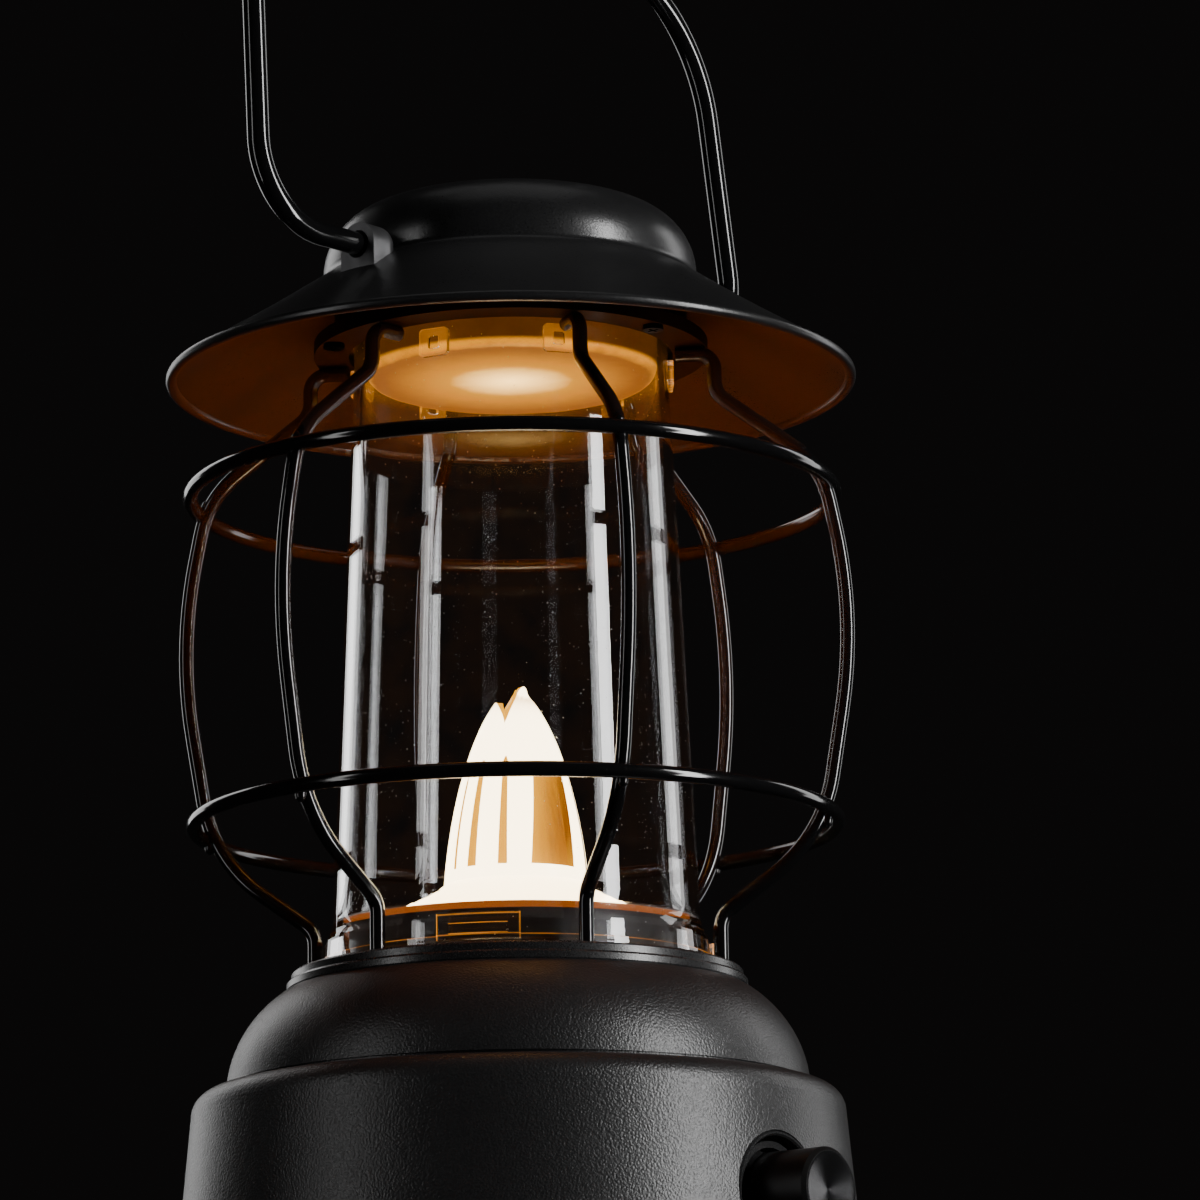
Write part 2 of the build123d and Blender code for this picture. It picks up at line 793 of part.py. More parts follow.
for number in range(cage_count):
    with BuildPart() as cage_wire:
        with BuildLine(meridian(number * 360 / cage_count)) as wire_path:
            FilletPolyline(*wire_points, radius=wire_bends)
        with BuildSketch(Plane(origin=wire_path.line @ 0, z_dir=wire_path.line % 0)):
            Circle(wire_d / 2)
        sweep(path=wire_path.line)
    save(cage_wire.part, f"cage_wire_{number + 1}")

for name, radius, height in (
    ("cage_ring_upper", ring_upper_r, ring_upper_z),
    ("cage_ring_lower", ring_lower_r, ring_lower_z),
):
    with BuildPart() as cage_ring:
        with BuildSketch(Plane.XZ):
            with Locations((radius, height)):
                Circle(wire_d / 2)
        revolve(axis=Axis.Z)
    save(cage_ring.part, name)

with BuildPart() as cage_top_plate:
    with BuildSketch(Plane.XY.offset(plate_z)):
        Circle(plate_r)
        Circle(32.9, mode=Mode.SUBTRACT)
        with PolarLocations(plate_screw_ring, 3, start_angle=30):
            Circle(1.3, mode=Mode.SUBTRACT)
    extrude(amount=sheet)
save(cage_top_plate.part, "cage_top_plate")

with BuildPart() as cage_nuts:
    with BuildSketch(Plane.XY.offset(deck_z - 2.4)):
        with PolarLocations(leg_r, cage_count, start_angle=0):
            RegularPolygon(2.6, 6)
            Circle(wire_d / 2 + 0.02, mode=Mode.SUBTRACT)
    extrude(amount=-2.4)
save(cage_nuts.part, "cage_nuts")

# ================================================================== hat
inner_r = crown_r - sheet
foot_z = 225.0           # where the crown meets the slope
knee = (54.0, 214.4)
with BuildPart() as hat_shell:
    with BuildSketch(Plane.XZ):
        with BuildLine():
            FilletPolyline(
                (0, crown_top_z),
                (crown_r, crown_top_z - 0.2),
                (crown_r, foot_z),
                knee,
                (brim_r - 1.0, brim_z + 0.8),
                radius=[crown_corner, 2.0, 260.0],
            )
            FilletPolyline(
                (brim_r - 1.6, brim_z - 0.2),
                (knee[0] - 0.62, knee[1] - 1.03),
                (inner_r, foot_z - 0.64),
                (inner_r, crown_top_z - 0.2 - sheet),
                (0, crown_top_z - sheet),
                radius=[260.0, 3.2, crown_corner - sheet],
            )
            Line((brim_r - 1.0, brim_z + 0.8), (brim_r - 1.6, brim_z - 0.2))
            Line((0, crown_top_z - sheet), (0, crown_top_z))
        make_face()
        with Locations((brim_r - 1.1, brim_z)):
            Circle(1.1)
    revolve(axis=Axis.Z)
save(hat_shell.part, "hat_shell")

with BuildPart() as lamp_housing:
    with BuildSketch(Plane.XZ):
        with BuildLine():
            FilletPolyline(
                (plate_r, plate_z + sheet + housing_t),
                (35.8, plate_z + sheet + housing_t),
                (35.8, housing_top_z),
                (2.2, housing_top_z),
                radius=[0.8, 11.3],
            )
            FilletPolyline(
                (2.2, housing_top_z - housing_t),
                (33.0, housing_top_z - housing_t),
                (33.0, 225.0),
                (34.2, 225.0),
                (34.2, plate_z + sheet),
                radius=[8.5, 0.3, 0.3],
            )
            Line((34.2, plate_z + sheet), (plate_r, plate_z + sheet))
            Line((plate_r, plate_z + sheet), (plate_r, plate_z + sheet + housing_t))
            Line((2.2, housing_top_z), (2.2, housing_top_z - housing_t))
        make_face()
    revolve(axis=Axis.Z)
    with BuildSketch(Plane.XY.offset(plate_z + sheet)):
        with PolarLocations(plate_screw_ring, 3, start_angle=30):
            Circle(1.25)
    extrude(amount=1.6, mode=Mode.SUBTRACT)
save(lamp_housing.part, "lamp_housing")

with BuildPart() as plate_screws:
    with BuildSketch(Plane.XY.offset(plate_z)):
        with PolarLocations(plate_screw_ring, 3, start_angle=30):
            Circle(2.1)
    extrude(amount=-1.0)
    with BuildSketch(Plane.XY.offset(plate_z)):
        with PolarLocations(plate_screw_ring, 3, start_angle=30):
            Circle(1.2)
    extrude(amount=sheet + 2.6)
    with BuildSketch(Plane.XY.offset(plate_z - 1.0)):
        with PolarLocations(plate_screw_ring, 3, start_angle=30):
            Rectangle(2.6, 0.5)
            Rectangle(0.5, 2.6)
    extrude(amount=0.6, mode=Mode.SUBTRACT)
save(plate_screws.part, "plate_screws")

with BuildPart() as top_diffuser:
    with BuildSketch(Plane.XZ):
        with BuildLine():
            FilletPolyline(
                (diffuser_r, top_board_z),
                (diffuser_r, diffuser_z),
                (0, diffuser_z),
                radius=[1.6],
            )
            Polyline(
                (0, diffuser_z),
                (0, diffuser_z + diffuser_t),
                (diffuser_r - diffuser_t, diffuser_z + diffuser_t),
                (diffuser_r - diffuser_t, top_board_z),
                (diffuser_r, top_board_z),
            )
        make_face()
    revolve(axis=Axis.Z)
save(top_diffuser.part, "top_diffuser")

disc_ring("top_led_board", 33.8, 0, top_board_z, top_board_z + board_t)
disc_ring("heat_spreader", 33.8, 0, top_board_z + board_t, top_board_z + 4.0)

with BuildPart() as top_leds:
    with BuildSketch(Plane.XY.offset(top_board_z)):
        with PolarLocations(18.0, 12):
            RectangleRounded(led_w, led_h, 0.3)
        with PolarLocations(8.0, 6):
            RectangleRounded(led_w, led_h, 0.3)
    extrude(amount=-led_t)
save(top_leds.part, "top_leds")

stud_z = 228.0
with BuildPart() as hat_stud:
    with BuildSketch(Plane.XY.offset(stud_z)):
        Circle(2.0)
    extrude(amount=crown_top_z - sheet - stud_z - 0.05)
save(hat_stud.part, "hat_stud")

with BuildPart() as hat_nut:
    with BuildSketch(Plane.XY.offset(housing_top_z - housing_t)):
        RegularPolygon(4.0, 6)
        Circle(2.02, mode=Mode.SUBTRACT)
    extrude(amount=-3.2)
save(hat_nut.part, "hat_nut")

# ------------------------------------------------------------------ handle lugs
lug_w = 8.8
lug_back_x = 38.7
for name, side in (("handle_lug_left", -1), ("handle_lug_right", 1)):
    with BuildPart() as handle_lug:
        with BuildSketch(Plane.YZ.offset(lug_back_x)):
            with Locations((0, pivot_z)):
                Circle(lug_w / 2)
            with Locations((0, pivot_z - 5.0)):
                Rectangle(lug_w, 10.0)
        extrude(amount=lug_front_x - lug_back_x)
        arch = handle_lug.edges().filter_by(GeomType.CIRCLE).sort_by(Axis.X)[0]
        fillet(arch, 2.6)
        # underside follows the slope of the hat
        with BuildSketch(Plane.XZ):
            with BuildLine():
                FilletPolyline(
                    (0, foot_z),
                    (crown_r, foot_z),
                    knee,
                    (brim_r - 1.0, brim_z + 0.8),
                    radius=[0.1, 260.0],
                )
                Polyline((brim_r - 1.0, brim_z + 0.8), (brim_r - 1.0, 190.0), (0, 190.0), (0, foot_z))
            make_face()
        revolve(axis=Axis.Z, mode=Mode.SUBTRACT)
        with BuildSketch(Plane.YZ.offset(stub_x - 0.3)):
            with Locations((0, pivot_z)):
                Circle(handle_d / 2 + 0.07)
        extrude(amount=lug_front_x - stub_x + 0.3, mode=Mode.SUBTRACT)
        mouth = handle_lug.edges().filter_by(GeomType.CIRCLE).group_by(Axis.X)[-1].sort_by(SortBy.LENGTH)
        chamfer([edge for edge in mouth if edge.radius < 3.0], 0.45)
    lug = handle_lug.part if side > 0 else mirror(handle_lug.part, about=Plane.YZ)
    save(lug, name)

# ------------------------------------------------------------------ handle
tilt = radians(handle_tilt)
handle_plane = Plane(origin=(0, 0, pivot_z), x_dir=(1, 0, 0), z_dir=(0, -cos(tilt), sin(tilt)))
with BuildPart() as handle:
    with BuildLine(handle_plane) as handle_path:
        FilletPolyline(
            (-stub_x, 0),
            (-52.0, 0),
            (-73.6, -0.6),
            (-69.2, 83.0),
            (0, 86.0),
            (69.2, 83.0),
            (73.6, -0.6),
            (52.0, 0),
            (stub_x, 0),
            radius=[60.0, 16.0, 35.0, 320.0, 35.0, 16.0, 60.0],
        )
    with BuildSketch(Plane(origin=handle_path.line @ 0, z_dir=handle_path.line % 0)):
        Circle(handle_d / 2)
    sweep(path=handle_path.line)
save(handle.part, "handle")
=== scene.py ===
"""Looks of the barn lantern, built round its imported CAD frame.  Lengths are in metres, +Z up."""

import logging
from collections.abc import Mapping, Sequence
from dataclasses import dataclass
from enum import Enum
from math import cos, pi, radians, sin

import bmesh
import bpy
from mathutils import Matrix, Vector


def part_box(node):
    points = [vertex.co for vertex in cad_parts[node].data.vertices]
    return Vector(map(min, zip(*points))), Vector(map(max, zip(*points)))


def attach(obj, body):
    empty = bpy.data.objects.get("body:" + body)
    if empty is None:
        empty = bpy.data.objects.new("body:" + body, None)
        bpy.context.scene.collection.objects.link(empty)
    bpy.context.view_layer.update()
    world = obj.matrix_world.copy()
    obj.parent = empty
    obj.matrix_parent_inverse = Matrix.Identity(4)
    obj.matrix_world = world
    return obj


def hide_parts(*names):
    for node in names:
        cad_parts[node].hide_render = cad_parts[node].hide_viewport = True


logging.basicConfig(level=logging.INFO, format="%(levelname)s %(name)s: %(message)s")
log = logging.getLogger("lantern")

MM = 0.001  # metres
Triple = tuple[float, float, float]
Colour = Triple

WARM_SKIN: Colour = (0.06, 0.022, 0.004)  # colour of the lit plastics under their own light
SATIN_BLACK: Colour = (0.009, 0.009, 0.0093)
FLAME_ZERO = -139.0  # degrees from +X to the bearing that the flame's slots are counted from
WIRES = 6

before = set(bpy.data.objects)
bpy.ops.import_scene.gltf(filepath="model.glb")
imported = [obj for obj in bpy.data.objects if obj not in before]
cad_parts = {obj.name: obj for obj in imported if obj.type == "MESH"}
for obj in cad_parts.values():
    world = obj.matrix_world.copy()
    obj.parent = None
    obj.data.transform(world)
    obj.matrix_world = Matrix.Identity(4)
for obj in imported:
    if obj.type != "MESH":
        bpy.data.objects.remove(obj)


class Body(str, Enum):
    """The rigid body of the frame that the new pieces ride."""

    ROOT = "root"


class Slot(str, Enum):
    """Names of material slots, handed to adopt with each new piece."""

    WIRE = "wire_gloss"
    FLAME = "flame_clear"


class Axis(str, Enum):
    """The axis that a turned piece was spun about."""

    Y = "Y"
    Z = "Z"


# ------------------------------------------------------------------ shader building


def scaled(colour: Colour, factor: float) -> Colour:
    """A colour made lighter or darker by a factor."""
    return tuple(channel * factor for channel in colour)


class Value:
    """One output socket of a shader node, with the arithmetic that a maker writes."""

    def __init__(self, graph: "Graph", socket: bpy.types.NodeSocket) -> None:
        """Keep the graph and the socket.

        Args:
            graph: the graph that the socket belongs to.
            socket: the socket that holds the value.
        """
        self.graph = graph
        self.socket = socket

    def _maths(self, operation: str, first: object, second: object = 0.0) -> "Value":
        """Add a Math node.

        Args:
            operation: the Math node's operation.
            first: value or number on its first input.
            second: value or number on its second input.

        Returns:
            The node's result.
        """
        return self.graph.node("ShaderNodeMath", {"operation": operation}, {0: first, 1: second})

    def __add__(self, other: object) -> "Value":
        """Sum."""
        return self._maths("ADD", self, other)

    __radd__ = __add__

    def __sub__(self, other: object) -> "Value":
        """Difference."""
        return self._maths("SUBTRACT", self, other)

    def __rsub__(self, other: object) -> "Value":
        """Reflected difference."""
        return self._maths("SUBTRACT", other, self)

    def __mul__(self, other: object) -> "Value":
        """Product."""
        return self._maths("MULTIPLY", self, other)

    __rmul__ = __mul__

    def __truediv__(self, other: object) -> "Value":
        """Quotient."""
        return self._maths("DIVIDE", self, other)

    def __rtruediv__(self, other: object) -> "Value":
        """Reflected quotient."""
        return self._maths("DIVIDE", other, self)

    def at_least(self, other: object) -> "Value":
        """The larger of the two."""
        return self._maths("MAXIMUM", self, other)

    def at_most(self, other: object) -> "Value":
        """The smaller of the two."""
        return self._maths("MINIMUM", self, other)

    def root(self) -> "Value":
        """Square root."""
        return self._maths("SQRT", self)

    def wave(self) -> "Value":
        """Sine of the value in radians."""
        return self._maths("SINE", self)

    def span(self, low: float, high: float) -> "Value":
        """Map low..high to 0..1, held at both ends.

        Args:
            low: value that becomes 0.
            high: value that becomes 1.

        Returns:
            The mapped value.
        """
        settings = {"clamp": True, "interpolation_type": "SMOOTHSTEP"}
        return self.graph.node("ShaderNodeMapRange", settings, {0: self, 1: low, 2: high})

    def band(self, low: float, high: float, soft: float) -> "Value":
        """1 between low and high, fading to 0 over a soft width outside them."""
        return self.span(low - soft, low) * (1.0 - self.span(high, high + soft))


class Graph:
    """The node tree of one material, written one expression at a time."""

    def __init__(self, name: str) -> None:
        """Start a material with an empty Principled shader.

        Args:
            name: the material's name.
        """
        self.material = bpy.data.materials.new(name)
        self.material.use_nodes = True
        self.tree = self.material.node_tree
        self.shader = next(n for n in self.tree.nodes if n.type == "BSDF_PRINCIPLED")

    def node(
        self,
        kind: str,
        settings: Mapping[str, object] | None = None,
        inputs: Mapping[int | str, object] | None = None,
        output: int | str = 0,
    ) -> Value:
        """Add any node.

        Args:
            kind: the node's type name.
            settings: properties set before its sockets; "stops" fills a colour ramp.
            inputs: socket index or name to a Value, number, colour or vector.
            output: the output that is handed back.

        Returns:
            The chosen output.
        """
        made = self.tree.nodes.new(kind)
        for key, setting in (settings or {}).items():
            if key == "stops":
                ramp = made.color_ramp.elements
                while len(ramp) < len(setting):
                    ramp.new(0.5)
                for element, (position, colour) in zip(ramp, setting):
                    element.position = position
                    element.color = (*colour, 1.0)
            else:
                setattr(made, key, setting)
        for key, content in (inputs or {}).items():
            if isinstance(content, Value):
                self.tree.links.new(content.socket, made.inputs[key])
            else:
                made.inputs[key].default_value = content
        return Value(self, made.outputs[output])

    def place(self) -> Value:
        """Object coordinates, in metres."""
        return self.node("ShaderNodeTexCoord", output="Object")

    def parts(self, vector: Value) -> tuple[Value, Value, Value]:
        """Split a vector.

        Args:
            vector: the vector.

        Returns:
            Its three components.
        """
        split = self.node("ShaderNodeSeparateXYZ", inputs={0: vector})
        sockets = split.socket.node.outputs
        return Value(self, sockets[0]), Value(self, sockets[1]), Value(self, sockets[2])

    def noise(self, size: float, detail: float = 3.0, stretch: Triple = (1.0, 1.0, 1.0)) -> Value:
        """Noise whose blotches are about a given size.

        Args:
            size: blotch size in metres.
            detail: number of finer octaves.
            stretch: scale along each axis.

        Returns:
            The noise, 0 to 1.
        """
        moved = self.node("ShaderNodeMapping", inputs={"Vector": self.place(), "Scale": stretch})
        inputs = {"Vector": moved, "Scale": 1.0 / size, "Detail": detail}
        return self.node("ShaderNodeTexNoise", {"noise_dimensions": "3D"}, inputs)

    def grains(self, size: float) -> Value:
        """Distance to the nearest cell centre, in cells of a given size."""
        inputs = {"Vector": self.place(), "Scale": 1.0 / size}
        return self.node("ShaderNodeTexVoronoi", {"feature": "F1"}, inputs)

    def blend(self, factor: object, low: object, high: object) -> Value:
        """Mix two colours.

        Args:
            factor: 0 gives low, 1 gives high.
            low: first colour, as RGB or a Value.
            high: second colour, as RGB or a Value.

        Returns:
            The mixed colour.
        """
        ends = [c if isinstance(c, Value) else (*c, 1.0) for c in (low, high)]
        inputs = {0: factor, 6: ends[0], 7: ends[1]}
        return self.node("ShaderNodeMix", {"data_type": "RGBA"}, inputs, output=2)

    def bump(self, height: Value, depth: float, strength: float = 1.0) -> None:
        """Feed a height to the shader's normal.

        Args:
            height: height from 0 to 1.
            depth: real depth of a height of 1, in metres.
            strength: how much of the bump shows.
        """
        inputs = {"Strength": strength, "Distance": depth, "Height": height}
        bumped = self.node("ShaderNodeBump", inputs=inputs)
        self.tree.links.new(bumped.socket, self.shader.inputs["Normal"])

    def feed(self, socket: str, content: Value) -> None:
        """Link a varying value to one socket of the shader."""
        self.tree.links.new(content.socket, self.shader.inputs[socket])

    def fix(self, **constants: object) -> None:
        """Set constants on the shader; underscores in names stand for blanks."""
        for key, constant in constants.items():
            self.shader.inputs[key.replace("_", " ")].default_value = constant


# ------------------------------------------------------------------ finishes


@dataclass(frozen=True)
class Finish:
    """A finish that pieces wear.  Subclasses say how it looks."""

    name: str

    def dress(self, graph: Graph) -> None:
        """Fill the graph with this finish."""
        raise NotImplementedError

    def material(self) -> bpy.types.Material:
        """Make the material once.

        Returns:
            The material of this finish.
        """
        known = bpy.data.materials.get(self.name)
        if known:
            return known
        graph = Graph(self.name)
        self.dress(graph)
        return graph.material


@dataclass(frozen=True)
class SparkTexture(Finish):
    """Black moulding or powder coat with a fine even grain and a soft sheen."""

    colour: Colour = (0.02, 0.02, 0.0205)
    grain: float = 0.42 * MM
    relief: float = 0.05 * MM
    gloss: float = 0.42
    shine: float = 0.55

    def dress(self, graph: Graph) -> None:
        """Fine grain in relief, with dust-fine colour and gloss variation.

        Args:
            graph: the graph to fill.
        """
        fine = graph.noise(self.grain, 2.0)
        cells = graph.grains(self.grain * 1.4)
        broad = graph.noise(18 * MM, 4.0)
        graph.feed("Base Color", graph.blend(fine.span(0.35, 0.75), self.colour, scaled(self.colour, 1.7)))
        graph.feed("Roughness", broad * 0.08 + fine * 0.10 + (self.gloss - 0.09))
        graph.bump(fine * 0.6 + (1.0 - cells) * 0.5, self.relief, 0.8)
        graph.fix(Specular_IOR_Level=self.shine)


@dataclass(frozen=True)
class Enamel(Finish):
    """Glossy black enamel on wire, pooled a little unevenly."""

    colour: Colour = (0.004, 0.004, 0.0042)
    gloss: float = 0.11

    def dress(self, graph: Graph) -> None:
        """Slow waves and faint specks in a glossy coat.

        Args:
            graph: the graph to fill.
        """
        waves = graph.noise(4.0 * MM, 2.0)
        specks = graph.grains(1.4 * MM).span(0.08, 0.13)
        graph.feed("Base Color", graph.blend(specks, (0.012, 0.012, 0.012), self.colour))
        graph.feed("Roughness", waves * 0.06 + (self.gloss - 0.03))
        graph.bump(waves, 0.02 * MM, 0.3)
        graph.fix(Specular_IOR_Level=0.5)


@dataclass(frozen=True)
class Rubber(Finish):
    """Matte moulded rubber with a bloom of dust."""

    colour: Colour = (0.018, 0.018, 0.018)

    def dress(self, graph: Graph) -> None:
        """Powdery bloom over a dull skin.

        Args:
            graph: the graph to fill.
        """
        bloom = graph.noise(6 * MM, 5.0)
        fine = graph.noise(0.5 * MM, 2.0)
        graph.feed("Base Color", graph.blend(bloom.span(0.45, 0.8), self.colour, (0.04, 0.039, 0.037)))
        graph.feed("Roughness", bloom * 0.15 + 0.68)
        graph.bump(fine, 0.04 * MM, 0.5)


@dataclass(frozen=True)
class Spun(Finish):
    """Metal turned about one axis: fine rings that fan the highlight out."""

    colour: Colour = (0.42, 0.42, 0.43)
    gloss: float = 0.24
    pitch: float = 0.16 * MM
    centre: Triple = (0.0, 0.0, 0.0)
    along: Axis = Axis.Y

    def dress(self, graph: Graph) -> None:
        """Rings about the axis through the centre.

        Args:
            graph: the graph to fill.
        """
        x, y, z = graph.parts(graph.place())
        first, second = (x - self.centre[0], z - self.centre[2]) if self.along is Axis.Y else (x, y)
        radius = (first * first + second * second).root()
        wander = graph.noise(2.0 * MM, 2.0) * 0.8
        rings = (radius * (2 * pi / self.pitch) + wander).wave() * 0.5 + 0.5
        graph.feed("Base Color", graph.blend(rings, self.colour, scaled(self.colour, 1.25)))
        graph.feed("Roughness", rings * 0.10 + self.gloss)
        graph.bump(rings, 0.012 * MM, 0.8)
        graph.fix(Metallic=1.0)


@dataclass(frozen=True)
class Plated(Finish):
    """Plated or bare metal with handling marks."""

    colour: Colour = (0.5, 0.5, 0.51)
    gloss: float = 0.3
    metallic: float = 1.0

    def dress(self, graph: Graph) -> None:
        """Faint scratches and blotches.

        Args:
            graph: the graph to fill.
        """
        streaks = graph.noise(1.6 * MM, 4.0, (1.0, 1.0, 0.15))
        blotches = graph.noise(5 * MM, 3.0)
        graph.feed("Base Color", graph.blend(blotches, self.colour, scaled(self.colour, 0.8)))
        graph.feed("Roughness", streaks * 0.2 + (self.gloss - 0.1))
        graph.bump(streaks, 0.01 * MM, 0.4)
        graph.fix(Metallic=self.metallic)


@dataclass(frozen=True)
class Moulded(Finish):
    """Plain moulded plastic in any colour, faintly mottled."""

    colour: Colour = (0.05, 0.05, 0.05)
    gloss: float = 0.4

    def dress(self, graph: Graph) -> None:
        """Slight mottling and a soft skin.

        Args:
            graph: the graph to fill.
        """
        mottle = graph.noise(4 * MM, 4.0)
        lighter = tuple(min(1.0, channel * 1.25 + 0.004) for channel in self.colour)
        graph.feed("Base Color", graph.blend(mottle, self.colour, lighter))
        graph.feed("Roughness", mottle * 0.12 + (self.gloss - 0.06))
        graph.bump(graph.noise(0.6 * MM, 2.0), 0.02 * MM, 0.4)


@dataclass(frozen=True)
class ClearTube(Finish):
    """Clear tube wall: transparent, with a polished skin, a little dust and painted warm light (emission)
    along its rims and tabs.
    """

    tint: Colour = (0.97, 0.975, 0.98)
    skin: float = 1.49
    # colour of the painted light on the clear wall
    glow: Colour = (1.0, 0.34, 0.02)
    strength: float = 1.0
    flange_radius: float = 38.0 * MM
    flange_foot: float = 80.9 * MM
    flange_top: float = 85.4 * MM
    tab_radius: float = 39.3 * MM
    tab_top: float = 89.35 * MM
    tab_side: float = 0.806  # sine of three times the bearing
    window_side: float = 0.900  # sine of three times the bearing
    window_foot: float = 85.65 * MM
    window_top: float = 87.65 * MM
    lug_radius: float = 32.3 * MM
    lamp_height: float = 202 * MM

    def painted_edge_glow(self, x: Value, y: Value, z: Value) -> Value:
        """Painted light (emission) along the flange, the three bayonet tabs and the windows sunk in them.

        Args:
            x: object coordinate along X.
            y: object coordinate along Y.
            z: height.

        Returns:
            How brightly each place is painted as lit.
        """
        soft = 0.06 * MM
        thin = 0.10 * MM
        radius = (x * x + y * y).root()
        flange = radius.span(self.flange_radius - 0.1 * MM, self.flange_radius + 0.2 * MM)
        tab = radius.span(self.tab_radius - 0.05 * MM, self.tab_radius + 0.2 * MM)
        turn = (y * y * y - x * x * y * 3.0) / (radius * radius * radius)
        flange_top = z.band(self.flange_top, self.flange_top + 0.15 * MM, soft)
        flange_foot = z.band(self.flange_foot, self.flange_foot + thin, soft)
        tab_side = turn.band(self.tab_side, self.tab_side + 0.009, 0.008)
        tab_top = z.band(self.tab_top, self.tab_top + 0.25 * MM, soft)
        window_top = z.band(self.window_top, self.window_top + thin, soft)
        window_foot = z.band(self.window_foot, self.window_foot + thin, soft)
        window = (window_top + window_foot) * turn.span(self.window_side, self.window_side + 0.008)
        tab_lines = (tab_side + tab_top + window * 1.4).at_most(1.4) * tab
        return (flange_top + flange_foot * 0.6) * flange * 0.5 + tab_lines * 0.5

    def dress(self, graph: Graph) -> None:
        """Refracting wall with drawn waves, painted warm light in lines at its foot and a breath of
        painted light at the lamp.

        Args:
            graph: the graph to fill.
        """
        x, y, z = graph.parts(graph.place())
        radius = (x * x + y * y).root()
        waves = graph.noise(14 * MM, 2.0, (1.0, 1.0, 0.12))
        dust = graph.grains(2.2 * MM).span(0.05, 0.07)
        broken = graph.noise(7 * MM, 3.0).span(0.30, 0.60)
        # painted light: warm emission near the lamp and on the lugs, broken up by noise
        near_lamp = z.span(self.lamp_height - 2 * MM, self.lamp_height + 1 * MM)
        painted_lug_glow = radius.span(self.lug_radius - 0.05 * MM, self.lug_radius + 0.3 * MM) * near_lamp
        painted_top_glow = z.span(self.lamp_height, self.lamp_height + 5 * MM)
        soft = (painted_lug_glow * 0.26 + painted_top_glow * 0.008 + 0.0015) * broken
        # painted light of the whole wall, fed in as emission; the clear tube is no lamp
        lit = self.painted_edge_glow(x, y, z) * (broken * 0.6 + 0.4) + soft
        graph.feed("Base Color", graph.blend(dust, (0.75, 0.74, 0.72), self.tint))
        graph.feed("Roughness", (1.0 - dust) * 0.3)
        graph.feed("Emission Color", graph.blend(lit, (0.0, 0.0, 0.0), self.glow))
        graph.bump(waves, 0.10 * MM, 0.25)
        graph.fix(Transmission_Weight=1.0, IOR=self.skin, Emission_Strength=self.strength)


@dataclass(frozen=True)
class Glow(Finish):
    """Milky lit plastic: brightest on the lantern's axis, amber further out, with a brighter edge."""

    bright: Colour = (1.0, 0.60, 0.12)
    middle: Colour = (0.5, 0.28, 0.04)
    dim: Colour = (0.17, 0.060, 0.001)
    edge: Colour = (0.17, 0.060, 0.001)
    reach: float = 30 * MM
    strength: float = 2.2
    wall_from: float = 1.0  # metres; a metre up is above the lantern, so nothing is dimmed

    def dress(self, graph: Graph) -> None:
        """Radial fall-off with a little cloudiness; the wall above the rim is much dimmer.

        Args:
            graph: the graph to fill.
        """
        x, y, z = graph.parts(graph.place())
        radius = (x * x + y * y).root() / self.reach
        cloud = graph.noise(3 * MM, 3.0) * 0.06
        fall = radius + cloud - 0.03
        wall = z.span(self.wall_from, self.wall_from + 1.2 * MM)
        stops = (
            (0.0, self.bright),
            (0.42, self.middle),
            (0.86, self.dim),
            (0.93, self.dim),
            (0.985, self.edge),
        )
        face = graph.node("ShaderNodeValToRGB", {"stops": stops}, {0: fall})
        graph.feed("Emission Color", graph.blend(wall, face, scaled(self.dim, 0.22)))
        graph.feed("Roughness", cloud + 0.38)
        graph.bump(graph.noise(0.7 * MM, 2.0), 0.02 * MM, 0.4)
        graph.fix(Base_Color=(*WARM_SKIN, 1.0), Emission_Strength=self.strength)


@dataclass(frozen=True)
class FlameGlow(Finish):
    """Light guide of the flame: white-hot outside, amber inside and in its slots."""

    hot: Colour = (1.0, 0.80, 0.48)
    warm: Colour = (0.20, 0.078, 0.001)
    lit: Colour = (0.19, 0.080, 0.0015)
    amber: Colour = (0.030, 0.0075, 0.0001)
    shade_from: float = 1 * MM
    shade_to: float = 10.5 * MM
    foot_light: float = 99 * MM
    foot_dark: float = 112 * MM
    strength: float = 9.0

    def dress(self, graph: Graph) -> None:
        """Outside and inside are told apart by which way the surface faces from the axis.

        The outside is hot where it stands upright and warm where it leans in to the tips.  The inside
        is lit on one side of the flame and near its foot, and amber elsewhere.

        Args:
            graph: the graph to fill.
        """
        x, y, z = graph.parts(graph.place())
        normal_x, normal_y, _ = graph.parts(graph.node("ShaderNodeNewGeometry", output="Normal"))
        radius = (x * x + y * y).root().at_least(0.2 * MM)
        outward = (x * normal_x + y * normal_y) / radius
        outside = outward.span(0.15, 0.55)
        across = radians(FLAME_ZERO + 90.0)
        sideways = x * cos(across) + y * sin(across)
        streaks = graph.noise(1.5 * MM, 3.0, (1.0, 1.0, 0.08)) * 0.3 - 0.15
        low_glow = 1.0 - z.span(self.foot_light, self.foot_dark)
        near_side = 1.0 - sideways.span(self.shade_from, self.shade_to)
        lit = (near_side + streaks + low_glow * 0.6).at_most(1.0).at_least(0.0)
        inner = graph.blend(lit, self.amber, self.lit)
        skin = graph.blend(1.0 - outward.span(0.70, 0.90), self.hot, self.warm)
        graph.feed("Emission Color", graph.blend(outside, inner, skin))
        graph.feed("Roughness", streaks * 0.15 + 0.22)
        graph.fix(Base_Color=(*WARM_SKIN, 1.0), Emission_Strength=self.strength)


